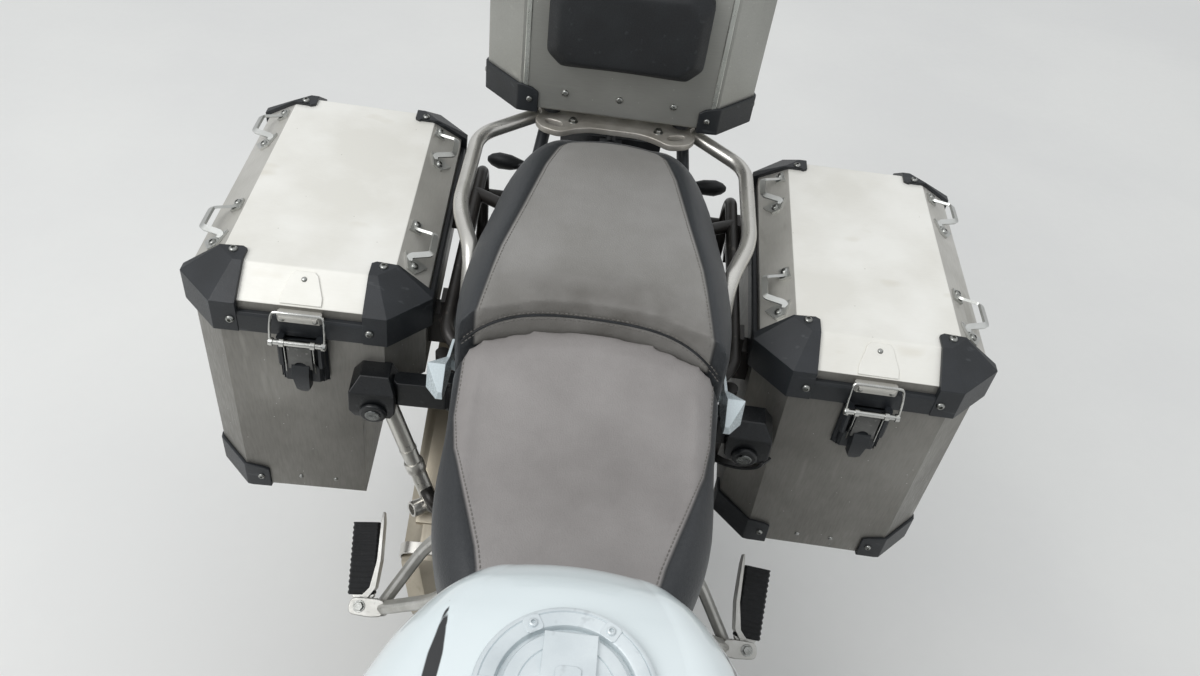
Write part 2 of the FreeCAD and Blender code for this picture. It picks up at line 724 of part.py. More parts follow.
ring = cut(
    "filler_ring_cut", rod("filler_ring_metal", at(0, -851, 1038), at(0, -851, 1080), "58"),
    join("filler_ring_cuts", [
        rod("filler_ring_bore", at(0, -851, 1030), at(0, -851, 1070), "29"),
        rod("filler_ring_well", at(0, -851, 1069), at(0, -851, 1090), "44"),
    ]),
)
keep("filler_ring", ring)
cap = [
    rod("filler_cap_disc", at(0, -851, 1069.4), at(0, -851, 1082), "38"),
    rod("filler_cap_hinge", at(-9, -851 - 38, 1082), at(9, -851 - 38, 1082), "3"),
]
keep("filler_cap", join("filler_cap_whole", cap))

# Saddle in two pieces
gap = d.seat_gap / 2


def step_post(name, radius):
    """An upright post whose rear face is the curved step between the two seats."""
    middle = d.seat_step - d.seat_step_r
    return rod(name, at(0, middle, 700), at(0, middle, 1100), radius)


rider = doc.addObject("Part::MultiCommon", "rider_seat_pad")
rider.Shapes = [loft("rider_seat_form", [
    arch(-742, 60, 826, 862, 896, 34), arch(-670, 118, 806, 860, 892, 76), arch(-560, 149, 797, 858, 889, 102),
    arch(-450, 156, 811, 862, 900, 112), arch(-400, 156, 816, 872, 920, 112), arch(-350, 152, 820, 880, 930, 108),
]), step_post("rider_seat_end", f"sizes.seat_step_r - {gap}")]
keep("rider_seat", rider)
keep("pillion_seat", cut("pillion_seat_pad", loft("pillion_seat_form", [
    arch(-436, 156, 822, 924, 957, 112), arch(-386, 159, 822, 930, 961, 112), arch(-300, 160, 828, 934, 966, 110),
    arch(-200, 152, 846, 936, 968, 98), arch(-120, 139, 866, 938, 967, 84), arch(-55, 118, 882, 938, 963, 70),
    arch(-8, 90, 896, 932, 950, 54),
]), step_post("pillion_seat_start", f"sizes.seat_step_r + {gap}")))

# Tail panels at both sides of the seat
panels = []
for side, sign in SIDES:
    def p(x, y, z):
        return at(sign * x, y, z)

    panels.append(loft(f"tail_panel_{side}", [
        polygon([p(near, y, low), p(near + wide, y, low), p(near + wide - 5, y, high), p(near + 2, y, high)])
        for y, near, wide, low, high in (
            (-412, 163, 7, 830, 842), (-388, 163, 24, 822, 868), (-350, 163, 14, 820, 874), (-250, 163, 9, 838, 878),
            (-110, 143, 10, 866, 886),
        )
    ], ruled=True))
    panels.append(rod(f"tail_panel_stay_{side}", p(118, -352, 812), p(168, -352, 828), "6"))
    panels.append(rod(f"tail_panel_tie_{side}", p(112, -124, 858), p(148, -124, 874), "6"))
keep("tail_panels", join("tail_panels_whole", panels))

# Luggage rack: a cast plate on two bent rails, which are also the grab rails
plate = prism("rack_plate", [
    at(-100, 14, d.rack_z), at(-70, -4, d.rack_z), at(70, -4, d.rack_z), at(100, 14, d.rack_z), at(128, 60, d.rack_z),
    at(128, 270, d.rack_z), at(96, 300, d.rack_z), at(-96, 300, d.rack_z), at(-128, 270, d.rack_z), at(-128, 60, d.rack_z),
], d.rack_thick, AXIS_Z)
slots = []
for side, sign in SIDES:
    x = sign * 84
    slots.append(slab(f"rack_slot_{side}", at(x - 14, 22, d.rack_z - 5), at(x + 14, 32, d.rack_z + 20)))
slots.append(slab("rack_window_front", at(-56, 60, d.rack_z - 5), at(56, 140, d.rack_z + 20)))
slots.append(slab("rack_window_rear", at(-56, 170, d.rack_z - 5), at(56, 250, d.rack_z + 20)))
rack = [cut("rack_plate_cut", plate, join("rack_slots", slots))]
for side, sign in SIDES:
    def p(x, y, z):
        return at(sign * x, y, z)

    rack.append(pipe(f"rack_rail_{side}", [
        p(112, 40, 950), p(170, 2, 940), p(188, -60, 934), p(186, -170, 930), p(158, -250, 921), p(156, -300, 850),
        p(122, -312, 817),
    ], "sizes.rail_r", 60))
    rack.append(rod(f"rack_leg_{side}", p(96, 60, 955), p(112, -64, 868), "9"))
    rack.append(rod(f"rack_foot_{side}", p(92, 40, d.rack_z + d.rack_thick - 1), p(92, 40, d.box_bottom_z), "12"))
    rack.append(rod(f"rack_rear_foot_{side}", p(92, 250, d.rack_z + d.rack_thick - 1), p(92, 250, d.box_bottom_z), "12"))
keep("luggage_rack", join("rack_whole", rack))

def pannier_place(sign):
    """Where a pannier's own frame stands: u outwards, v towards the rear, w up from its floor."""
    place = Placement(at(sign * d.case_inner_x, d.case_middle, d.case_bottom_z + d.case_high), Rotation())
    place = place.multiply(Placement(Vector(), Rotation(AXIS_Z, -sign * d.case_toe)))
    place = place.multiply(Placement(Vector(), Rotation(AXIS_Y, -sign * d.case_lean)))
    return place.multiply(Placement(Vector(0, 0, -d.case_high), Rotation()))


# Pannier carriers: bent rails at both sides, with a cross strut behind
carriers = []
for side, sign in SIDES:
    def p(x, y, z):
        return at(sign * x, y, z)

    low = 640 if sign > 0 else 712
    carriers.append(pipe(f"carrier_loop_{side}", [
        p(124, -330, 815), p(176, -330, 848), p(190, 56, 848), p(190, 56, low), p(178, -330, low), p(178, -330, 824),
    ], "sizes.carrier_r", 34))
    for name, v in (("front", -146), ("rear", 100)):
        for part, reach, low_w, high_w in (("plate", 14, 250, 321), ("lip", d.running_gap, 250, 300)):
            u_low, u_high = sorted((-sign * 36, -sign * reach))
            hook = slab(f"carrier_{part}_{side}_{name}", Vector(u_low, v - 14, low_w), Vector(u_high, v + 14, high_w))
            hook.Placement = pannier_place(sign).multiply(hook.Placement)
            carriers.append(hook)
    carriers.append(rod(f"carrier_brace_{side}", p(113, -84, 864), p(188, -24, 848), "sizes.carrier_r"))
carriers.append(rod("carrier_cross", at(-191, 58, 790), at(191, 58, 790), "sizes.carrier_r"))
carriers.append(pipe("carrier_strut", [at(-250, -338, 735), at(-195, -356, 552), at(-124, -482, 642)], "sizes.carrier_r", 30))
keep("pannier_carriers", join("carriers_whole", carriers))

# Panniers: each is made in its own frame, then set at the machine's side.
# u goes outwards from the inner wall, v towards the rear, w up from the floor.
rim = d.case_high
half_long = d.case_long / 2


def outline(inset, w, corner, sign):
    """The plan of a pannier at height w, made smaller by inset, with cut corners."""
    low_u, high_u = inset, d.case_wide - inset
    v = half_long - inset
    points = [
        (low_u + corner, -v), (high_u - corner, -v), (high_u, -v + corner), (high_u, v - corner),
        (high_u - corner, v), (low_u + corner, v), (low_u, v - corner), (low_u, -v + corner),
    ]
    return polygon([Vector(sign * u, y, w) for u, y in points])


def tub(name, sign, stations, wall):
    """A closed solid between two or more plans given as (inset, height)."""
    return loft(name, [outline(inset, w, wall, sign) for inset, w in stations], ruled=True)


for side, sign in SIDES:
    place = pannier_place(sign)
    c = d.case_corner
    wall = d.case_wall

    def box(name, low, high):
        a, b = sign * low[0], sign * high[0]
        return slab(name, Vector(min(a, b), low[1], low[2]), Vector(max(a, b), high[1], high[2]))

    def bar(name, start, end, radius):
        return rod(name, Vector(sign * start[0], start[1], start[2]), Vector(sign * end[0], end[1], end[2]), radius)

    body = tub(f"pannier_{side}_out", sign, [(0, 0), (0, rim)], c)
    room = tub(f"pannier_{side}_in", sign, [(wall, wall), (wall, rim + 10)], c - 1)
    metal = cut(f"pannier_{side}_shell", body, room)
    if sign < 0:
        notch = box(f"pannier_{side}_notch", (-20, -300, -20), (d.exhaust_notch, 300, d.exhaust_notch_high))
        within = tub(f"pannier_{side}_within", sign, [(0, 0), (0, rim)], c)
        fill = doc.addObject("Part::MultiCommon", f"pannier_{side}_step")
        step_box = box(f"pannier_{side}_step_box", (0, -300, 0), (d.exhaust_notch + wall, 300, d.exhaust_notch_high + wall))
        fill.Shapes = [within, step_box]
        metal = cut(f"pannier_{side}_notched", join(f"pannier_{side}_stepped", [metal, fill]), notch)
    ears = []
    for u in (0.5 * d.case_wide - 40, 0.5 * d.case_wide + 28):
        ears.append(bar(f"pannier_{side}_ear_{u}", (u, half_long + 14, rim), (u + 12, half_long + 14, rim), "5.5"))
        ears.append(box(f"pannier_{side}_ear_leg_{u}", (u, half_long - 0.5, rim - 16), (u + 12, half_long + 19.4, rim - 3)))
    pin = bar(f"pannier_{side}_pin", (0.5 * d.case_wide - 40, half_long + 14, rim), (0.5 * d.case_wide + 40, half_long + 14, rim), "4")
    keep(f"pannier_{side}", join(f"pannier_{side}_whole", [metal, pin] + ears), place)

    base = rim + d.lid_gap
    band_top = base + d.lid_band
    lip_top = band_top + d.lid_lip
    flat_top = lip_top + d.lid_slope_up
    lid_out = tub(f"lid_{side}_out", sign, [(0, base), (0, lip_top), (d.lid_slope_in, flat_top)], c)
    lid_in = tub(f"lid_{side}_in", sign, [(wall, base - 5), (wall, lip_top - 1), (d.lid_slope_in + 1, flat_top - wall)], c - 1)
    loops = []
    slope_long = math.hypot(d.lid_slope_in, d.lid_slope_up)

    def on_slope(iu, v, down, off):
        """A point over a lid's sloped side: down from its upper crease, and off its face."""
        u = d.lid_slope_in - (down * d.lid_slope_in + off * d.lid_slope_up) / slope_long
        w = flat_top - (down * d.lid_slope_up - off * d.lid_slope_in) / slope_long
        return Vector(sign * (d.case_wide - u if iu else u), v, w)

    for n, (iu, v) in enumerate(((0, -116), (0, 112), (1, -116), (1, 106))):
        loops.append(pipe(f"lid_{side}_loop_{n}", [
            on_slope(iu, v - 30, 14, -2), on_slope(iu, v - 24, 32, 17),
            on_slope(iu, v + 20, 32, 17), on_slope(iu, v + 36, 14, -2),
        ], "3", 8))
    keep(f"lid_{side}", join(f"lid_{side}_whole", [cut(f"lid_{side}_shell", lid_out, lid_in)] + loops), place)
    band = cut(
        f"lid_{side}_band",
        tub(f"lid_{side}_band_out", sign, [(-d.band_proud, base), (-d.band_proud, band_top)], c + 3),
        tub(f"lid_{side}_band_in", sign, [(0, base - 5), (0, band_top + 5)], c),
    )
    caps = []
    for n, (iu, iv) in enumerate(((0, -1), (0, 1), (1, -1), (1, 1))):
        u_low, u_high = (-d.band_proud, 62) if iu == 0 else (d.case_wide - 62, d.case_wide + d.band_proud)
        v_low, v_high = sorted((iv * (half_long + d.band_proud), iv * (half_long - 62)))
        caps.append(box(f"lid_{side}_cap_{n}", (u_low, v_low, base), (u_high, v_high, lip_top + 12)))
    cap_skin = cut(
        f"lid_{side}_cap_skin",
        tub(f"lid_{side}_cap_out", sign, [(-d.band_proud, base), (-d.band_proud, lip_top), (22, lip_top + 22)], c + 3),
        tub(f"lid_{side}_cap_in", sign, [(0, base - 5), (0, lip_top), (d.lid_slope_in, flat_top)], c),
    )
    corners = doc.addObject("Part::MultiCommon", f"lid_{side}_corners")
    corners.Shapes = [cap_skin, join(f"lid_{side}_cap_boxes", caps)]
    knuckle = [
        bar(f"lid_{side}_knuckle_out", (0.5 * d.case_wide - 24, half_long + 14, rim), (0.5 * d.case_wide + 24, half_long + 14, rim), "8"),
        box(f"lid_{side}_leaf", (0.5 * d.case_wide - 24, half_long + 7, base + 1), (0.5 * d.case_wide + 24, half_long + 16, base + 9)),
    ]
    knuckle_bore = bar(f"lid_{side}_knuckle_bore", (60, half_long + 14, rim), (220, half_long + 14, rim), "4.3")
    hinge = cut(f"lid_{side}_hinge", join(f"lid_{side}_hinge_metal", knuckle), knuckle_bore)
    keep(f"lid_trim_{side}", join(f"lid_trim_{side}_whole", [band, corners, hinge]), place)

    mid = 0.5 * d.case_wide
    latch = [
        box(f"latch_{side}_plate", (mid - 34, -half_long - 5, rim - 78), (mid + 34, -half_long, rim - 8)),
        box(f"latch_{side}_lever", (mid - 20, -half_long - 22, rim - 74), (mid + 20, -half_long - 4, rim - 22)),
        bar(f"latch_{side}_roller", (mid - 30, -half_long - 17, rim - 2), (mid + 30, -half_long - 17, rim - 2), "7"),
        bar(f"latch_{side}_arm_in", (mid - 24, -half_long - 14, rim - 26), (mid - 24, -half_long - 17, rim - 2), "4"),
        bar(f"latch_{side}_arm_out", (mid + 24, -half_long - 14, rim - 26), (mid + 24, -half_long - 17, rim - 2), "4"),
    ]
    nodes.setdefault("lid_latches", []).append((join(f"latch_{side}", latch), place))
    feet = []
    for n, (iu, iv) in enumerate(((0, -1), (0, 1), (1, -1), (1, 1))):
        if sign < 0 and iu == 0:
            continue
        u_low, u_high = (-4, 46) if iu == 0 else (d.case_wide - 46, d.case_wide + 4)
        v_low, v_high = sorted((iv * (half_long + 4), iv * (half_long - 46)))
        feet.append(box(f"foot_{side}_{n}", (u_low, v_low, -4), (u_high, v_high, 44)))
    guard_skin = cut(
        f"guard_{side}_skin",
        tub(f"guard_{side}_out", sign, [(-4, -4), (-4, 44)], c + 2),
        tub(f"guard_{side}_in", sign, [(0, 0), (0, 60)], c),
    )
    guards = doc.addObject("Part::MultiCommon", f"guard_{side}")
    guards.Shapes = [guard_skin, join(f"guard_{side}_boxes", feet)]
    nodes.setdefault("case_corners", []).append((guards, place))
    lock_u = (-22, 34) if sign > 0 else (26, 84)
    lock = [
        box(f"lock_{side}_body", (lock_u[0], -half_long - 40, rim - 102), (lock_u[1], -half_long + 4, rim - 34)),
        box(f"lock_{side}_arm", (-40, -half_long - 26, rim - 84), (lock_u[0] + 4, -half_long - 4, rim - 40)),
        bar(f"lock_{side}_key", (lock_u[0] + 26, -half_long - 44, rim - 84), (lock_u[0] + 26, -half_long - 38, rim - 84), "14"),
    ]
    nodes.setdefault("pannier_locks", []).append((join(f"lock_{side}", lock), place))

for node in ("lid_latches", "case_corners", "pannier_locks"):
    pieces = nodes.pop(node)
    for thing, place in pieces:
        thing.Placement = place.multiply(thing.Placement)
    keep(node, join(node + "_whole", [thing for thing, _ in pieces]))

# Case on the rack, with its lid hinged at the front
def plan(inset, corner, w):
    x = d.box_half_w - inset
    near, far = d.box_front + inset, d.box_front + d.box_long - inset
    return polygon([
        at(-x + corner, near, w), at(x - corner, near, w), at(x, near + corner, w), at(x, far - corner, w),
        at(x - corner, far, w), at(-x + corner, far, w), at(-x, far - corner, w), at(-x, near + corner, w),
    ])


low, top = d.box_bottom_z, d.box_bottom_z + d.box_high
c = d.box_corner
box_shell = cut(
    "topcase_shell",
    loft("topcase_out", [plan(0, c, low), plan(0, c, top)], ruled=True),
    loft("topcase_in", [plan(wall, c - 1, low + wall), plan(wall, c - 1, top + 10)], ruled=True),
)
box_pin = [rod("topcase_pin", at(-70, d.box_front - 14, top), at(70, d.box_front - 14, top), "4")]
for x in (-70, 58):
    box_pin.append(rod(f"topcase_ear_{x}", at(x, d.box_front - 14, top), at(x + 12, d.box_front - 14, top), "5.5"))
    box_pin.append(slab(f"topcase_ear_leg_{x}", at(x, d.box_front - 19.4, top - 16), at(x + 12, d.box_front + 0.5, top - 3)))
keep("topcase", join("topcase_whole", [box_shell] + box_pin))
base = top + d.lid_gap
crown = base + d.box_lid_high
keep("topcase_lid", cut(
    "topcase_lid_shell",
    loft("topcase_lid_out", [plan(0, c, base), plan(0, c, crown - 24), plan(30, c, crown)], ruled=True),
    loft("topcase_lid_in", [plan(wall, c - 1, base - 5), plan(wall, c - 1, crown - 25), plan(31, c - 1, crown - wall)], ruled=True),
))
trim = cut(
    "topcase_band",
    loft("topcase_band_out", [plan(-8, c + 3, base), plan(-8, c + 3, base + 30)], ruled=True),
    loft("topcase_band_in", [plan(0, c, base - 5), plan(0, c, base + 40)], ruled=True),
)
hinge = cut(
    "topcase_hinge",
    join("topcase_hinge_metal", [
        rod("topcase_knuckle", at(-54, d.box_front - 14, top), at(54, d.box_front - 14, top), "8"),
        slab("topcase_leaf", at(-54, d.box_front - 16, base + 1), at(54, d.box_front - 7, base + 9)),
    ]),
    rod("topcase_knuckle_bore", at(-60, d.box_front - 14, top), at(60, d.box_front - 14, top), "4.3"),
)
keep("topcase_lid_trim", join("topcase_trim_whole", [trim, hinge]))
pad_sections = []
for y, inset in ((0, 0), (-22, 0), (-40, 16)):
    x = 107 - inset
    pad_sections.append(polygon([
        at(-x + 20, d.box_front + y, 1053 + inset), at(x - 20, d.box_front + y, 1053 + inset),
        at(x, d.box_front + y, 1073 + inset), at(x, d.box_front + y, 1166 - inset),
        at(x - 20, d.box_front + y, 1186 - inset), at(-x + 20, d.box_front + y, 1186 - inset),
        at(-x, d.box_front + y, 1166 - inset), at(-x, d.box_front + y, 1073 + inset),
    ]))
keep("backrest_pad", loft("backrest", pad_sections, ruled=True))

# Rear fender with the plate holder, and the lamps
fender = [
    prism("fender_tray", [
        at(-70, -300, 800), at(-70, -300, 796), at(-70, -60, 800), at(-70, 120, 770), at(-70, 300, 640), at(-70, 340, 560),
        at(-70, 344, 562), at(-70, 304, 643), at(-70, 122, 775), at(-70, -60, 806),
    ], 140, AXIS_X),
    slab("fender_post", at(-40, -70, 800), at(40, -54, 862)),
    rod("lamp_bar", at(-150, 172, 775), at(150, 172, 775), "8"),
    prism("plate_holder", [at(-90, 294, 778), at(-90, 300, 780), at(-90, 362, 600), at(-90, 356, 598)], 180, AXIS_X),
    slab("plate_holder_arm", at(-20, 100, 764), at(20, 306, 776)),
]
keep("rear_fender", join("fender_whole", fender))
lamps = [slab("tail_lamp", at(-46, 316, 770), at(46, 340, 812)), rod("tail_lamp_stem", at(0, 290, 770), at(0, 320, 785), "10")]
for side, sign in SIDES:
    lamps.append(rod(f"rear_indicator_{side}", at(sign * 148, 172, 776), at(sign * 198, 178, 780), "15"))
    lamps.append(rod(f"front_indicator_{side}", at(sign * 150, -1296, 960), at(sign * 206, -1290, 960), "16"))
    lamps.append(rod(f"front_indicator_stem_{side}", at(sign * 70, -1336, 958), at(sign * 152, -1296, 960), "7"))
keep("lamps", join("lamps_whole", lamps))

# Front: carrier, cockpit, headlight, beak and screen
front = [
    prism("cockpit_carrier", [
        head_back + Vector(-16, -26, -14), head_back + Vector(-16, -26, 22), at(-16, -1262, 1075), at(-16, -1306, 1084),
        at(-16, -1330, 1040), at(-16, -1330, 1000),
    ], 32, AXIS_X),
    prism("cockpit_hood", [
        at(-112, -1236, 1120), at(-112, -1226, 1190), at(-112, -1258, 1200), at(-112, -1300, 1080), at(-112, -1262, 1068),
    ], 224, AXIS_X),
    rod("screen_stay_left", at(70, -1270, 1104), at(70, -1330, 1104), "8"),
    rod("screen_stay_right", at(-70, -1270, 1104), at(-70, -1330, 1104), "8"),
]
keep("cockpit", join("cockpit_whole", front))
keep("headlight", loft("headlight_body", [
    polygon([at(-w, y, low), at(w, y, low), at(w + 8, y, (low + high) / 2), at(w, y, high), at(-w, y, high), at(-w - 8, y, (low + high) / 2)])
    for y, w, low, high in ((-1312, 80, 905, 1050), (-1390, 100, 888, 1040), (-1418, 84, 902, 1020))
], ruled=True))
keep("beak", loft("beak_body", [
    polygon([at(-w, y, low), at(w, y, low), at(w, y, low + 10), at(0, y, high), at(-w, y, low + 10)])
    for y, w, low, high in ((-1318, 92, 868, 900), (-1430, 88, 838, 886), (-1560, 60, 790, 838), (-1640, 26, 762, 790))
], ruled=True))
screen_low, screen_high = at(0, -1340, 1062), at(0, -1196, 1446)
keep("windscreen", loft("screen", [
    Part.Wire([
        Part.Arc(m + Vector(-w, back, 0), m + Vector(0, 0, 0), m + Vector(w, back, 0)).toShape(),
        Part.LineSegment(m + Vector(w, back, 0), m + Vector(w, back + 5, 0)).toShape(),
        Part.Arc(m + Vector(w, back + 5, 0), m + Vector(0, 5, 0), m + Vector(-w, back + 5, 0)).toShape(),
        Part.LineSegment(m + Vector(-w, back + 5, 0), m + Vector(-w, back, 0)).toShape(),
    ])
    for m, w, back in (
        (screen_low, 118, 22), (at(0, -1292, 1190), 176, 40), (at(0, -1240, 1330), 166, 38), (screen_high, 110, 22),
    )
]))

# Handlebar and its controls
bar_mid = on_axis(0, axis_y + 4, d.upper_bridge_z + half_bridge + 34)
bars = [pipe("handlebar_tube", [
    at(-448, -922, 1180), at(-320, -968, 1188), at(-190, -1062, 1172), at(-90, bar_mid.y - d.rear_axle_y, bar_mid.z),
    at(90, bar_mid.y - d.rear_axle_y, bar_mid.z), at(190, -1062, 1172), at(320, -968, 1188), at(448, -922, 1180),
], "sizes.bar_end_r", 60)]
for side, sign in SIDES:
    foot = on_axis(sign * 50, axis_y + 4, d.upper_bridge_z + half_bridge - 2)
    bars.append(rod(f"handlebar_riser_{side}", foot, Vector(foot.x, bar_mid.y, bar_mid.z + 12), "17"))
keep("handlebar", join("handlebar_whole", bars))
controls, shields = [], []
for side, sign in SIDES:
    start, end = at(sign * 330, -964.4, 1187.4), at(sign * 450, -921.3, 1179.9)
    controls.append(rod(f"grip_{side}", start, end, "sizes.grip_r"))
    near = at(sign * 268, -1006, 1183)
    controls.append(rod(f"switch_{side}", near, start, "22"))
    controls.append(pipe(f"lever_{side}", [
        at(sign * 296, -1010, 1184), at(sign * 312, -1052, 1180), at(sign * 446, -992, 1172),
    ], "6", 20))
    controls.append(rod(f"mirror_stem_{side}", at(sign * 284, -996, 1196), at(sign * 352, -1030, 1320), "6"))
    controls.append(loft(f"mirror_{side}", [
        polygon([at(sign * (390 + a), y, 1340 + b) for a, b in (
            (-62 + k, -24), (-40, -42 + k), (44, -38 + k), (64 - k, -10), (56 - k, 36 - k), (-30, 40 - k), (-60 + k, 18),
        )]) for y, k in ((-1032, 0), (-1044, 0), (-1062, 20))
    ], ruled=True))
    shields.append(pipe(f"guard_bar_{side}", [
        at(sign * 448, -922, 1180), at(sign * 474, -930, 1180), at(sign * 470, -1010, 1184), at(sign * 300, -1092, 1186), at(sign * 236, -1034, 1182),
    ], "5.5", 24))
    shields.append(loft(f"guard_shield_{side}", [
        polygon([at(sign * x, y, z) for x, y, z in row]) for row in (
            ((470, -1004, 1150), (474, -1000, 1150), (474, -1000, 1214), (470, -1004, 1214)),
            ((390, -1062, 1130), (394, -1056, 1130), (394, -1056, 1240), (390, -1062, 1240)),
            ((290, -1104, 1150), (294, -1098, 1150), (294, -1098, 1222), (290, -1104, 1222)),
        )
    ], ruled=True))
keep("bar_controls", join("bar_controls_whole", controls))
keep("hand_guards", join("hand_guards_whole", shields))

# Bars around the cylinders
guards = []
for side, sign in SIDES:
    def p(x, y, z):
        return at(sign * x, y, z)

    guards.append(pipe(f"guard_tube_{side}", [
        p(96, -1030, 330), p(250, -1030, 300), p(372, -1010, 340), p(400, -990, 450), p(384, -990, 560), p(250, -1040, 690), p(96, -1020, 775),
    ], "sizes.bar_guard_r", 60))
    guards.append(pipe(f"guard_side_{side}", [
        p(396, -992, 480), p(406, -900, 520), p(400, -780, 470), p(392, -740, 440), p(130, -700, 330),
    ], "sizes.bar_guard_r", 60))
keep("crash_bars", join("crash_bars_whole", guards))

# Pegs and their brackets
def across(name, point, half, radius, way=AXIS_Z):
    unit = Vector(way).normalize()
    return rod(name, point - unit * half, point + unit * half, radius)


peg_axis = Vector(0, -0.5, 0.866)
brackets = []
for side, sign in SIDES:
    pivot = at(sign * 263, -486, 474)
    unit = Vector(peg_axis).normalize()
    outward = Vector(sign, 0, 0)
    back = unit.cross(outward) * sign

    def q(out_by, back_by, along_by):
        """A point of the clevis: outward, rearward and along the pin from the pivot."""
        return pivot + outward * out_by + back * back_by + unit * along_by

    brackets.append(pipe(f"peg_arm_front_{side}", [at(sign * 122, -600, 680), at(sign * 190, -560, 560), q(-27, -3, 3)], "11", 30))
    brackets.append(pipe(f"peg_arm_rear_{side}", [at(sign * 125, -440, 654), at(sign * 186, -439, 558), q(-26, 2, -4)], "9", 30))
    for level, low_n, reach in (("low", -22, 14), ("high", 12, 14), ("web", -14, -18)):
        brackets.append(prism(f"peg_clevis_{level}_{side}", [
            q(reach, -13, low_n), q(reach, 13, low_n), q(-36, 13, low_n), q(-36, -13, low_n),
        ], 28 if level == "web" else 10, unit))
    brackets.append(rod(f"peg_pin_{side}", pivot - unit * 20, pivot + unit * 20, "4"))
    along = Vector(0.1 * sign, 0.86, 0.49).normalize()
    eye = cut(
        f"peg_eye_{side}", rod(f"peg_eye_{side}_metal", pivot - unit * 11.5, pivot + unit * 11.5, "9"),
        rod(f"peg_eye_{side}_bore", pivot - unit * 30, pivot + unit * 30, "4.3"),
    )
    blade = rod(f"peg_rubber_{side}", pivot + along * 8.2, pivot + along * 112, "10")
    keep(f"passenger_peg_{side}", join(f"passenger_peg_{side}_whole", [eye, blade]))
keep("passenger_peg_brackets", join("passenger_brackets_whole", brackets))

mounts = []
for side, sign in SIDES:
    pivot = at(sign * 196, -590, 342)
    mounts.append(prism(f"rider_peg_plate_{side}", [
        at(sign * 98, -606, 405), at(sign * 98, -566, 405), at(sign * 98, -560, 345), at(sign * 98, -600, 345),
    ], 10, Vector(sign, 0, 0)))
    mounts.append(rod(f"rider_peg_arm_{side}", at(sign * 104, -588, 380), at(sign * 176, -590, 348), "12"))
    mounts.append(rod(f"rider_peg_cheek_front_{side}", pivot + Vector(0, -24, 0), pivot + Vector(0, -14, 0), "13"))
    mounts.append(rod(f"rider_peg_cheek_rear_{side}", pivot + Vector(0, 14, 0), pivot + Vector(0, 24, 0), "13"))
    mounts.append(slab(f"rider_peg_web_{side}", pivot + Vector(min(-sign * 28, -sign * 12), -24, -10), pivot + Vector(max(-sign * 28, -sign * 12), 24, 10)))
    mounts.append(rod(f"rider_peg_pin_{side}", pivot + Vector(0, -20, 0), pivot + Vector(0, 20, 0), "4"))
    eye = cut(
        f"rider_peg_eye_{side}", rod(f"rider_peg_eye_{side}_metal", pivot + Vector(0, -13.5, 0), pivot + Vector(0, 13.5, 0), "9"),
        rod(f"rider_peg_eye_{side}_bore", pivot + Vector(0, -30, 0), pivot + Vector(0, 30, 0), "4.3"),
    )
    tread = slab(f"rider_peg_tread_{side}", pivot + Vector(min(sign * 8, sign * 116), -22, -4), pivot + Vector(max(sign * 8, sign * 116), 22, 10))
    tread_neck = slab(f"rider_peg_gap_{side}", pivot + Vector(min(sign * 2, sign * 17), -60, -30), pivot + Vector(max(sign * 2, sign * 17), -13.5, 30))
    tread_neck_2 = slab(f"rider_peg_gap2_{side}", pivot + Vector(min(sign * 2, sign * 17), 13.5, -30), pivot + Vector(max(sign * 2, sign * 17), 60, 30))
    tread_cut = cut(f"rider_peg_tread_cut_{side}", tread, join(f"rider_peg_necks_{side}", [tread_neck, tread_neck_2]))
    tread_bored = cut(f"rider_peg_tread_bored_{side}", join(f"rider_peg_{side}_metal", [eye, tread_cut]), rod(f"rider_peg_bore_{side}", pivot + Vector(0, -30, 0), pivot + Vector(0, 30, 0), "4.3"))
    keep(f"rider_peg_{side}", tread_bored)
keep("rider_peg_brackets", join("rider_brackets_whole", mounts))

# Centre stand
stand_pin = at(0, d.stand_pivot_behind, d.stand_pivot_z)
stand = []
for side, sign in SIDES:
    top_point = Vector(sign * 118, stand_pin.y, stand_pin.z)
    foot_point = at(sign * d.stand_foot_x, d.stand_pivot_behind - d.stand_foot_ahead, d.stand_leg_r)
    eye = rod(f"stand_eye_{side}", Vector(sign * 103, stand_pin.y, stand_pin.z), Vector(sign * 120, stand_pin.y, stand_pin.z), "16")
    stand += [
        eye, pipe(f"stand_leg_{side}", [top_point, foot_point], "sizes.stand_leg_r"),
        rod(f"stand_foot_{side}", foot_point + Vector(0, -34, 0), foot_point + Vector(0, 30, 0), "sizes.stand_leg_r"),
    ]
cross_z = 120
t = (stand_pin.z - cross_z) / (stand_pin.z - d.stand_leg_r)
x = 118 + (d.stand_foot_x - 118) * t
stand.append(rod("stand_cross", at(-x, d.stand_pivot_behind - d.stand_foot_ahead * t, cross_z), at(x, d.stand_pivot_behind - d.stand_foot_ahead * t, cross_z), "11"))
keep("centre_stand", cut("stand_bored", join("stand_whole", stand), rod("stand_bore", stand_pin - Vector(130, 0, 0), stand_pin + Vector(130, 0, 0), "8.3")))

# Side stand, on the left, folded up
keep("side_stand", join("side_stand_whole", [
    cut(
        "side_stand_eye",
        rod("side_stand_eye_metal", side_pivot - side_axis * 7, side_pivot + side_axis * 7, "15"),
        rod("side_stand_eye_bore", side_pivot - side_axis * 20, side_pivot + side_axis * 20, "6.3"),
    ),
    pipe("side_stand_leg", [side_pivot + Vector(2, 14, 0), at(230, -510, 250), at(236, -392, 262)], "sizes.side_stand_r", 60),
    rod("side_stand_foot", at(236, -392, 250), at(236, -392, 274), "22"),
]))

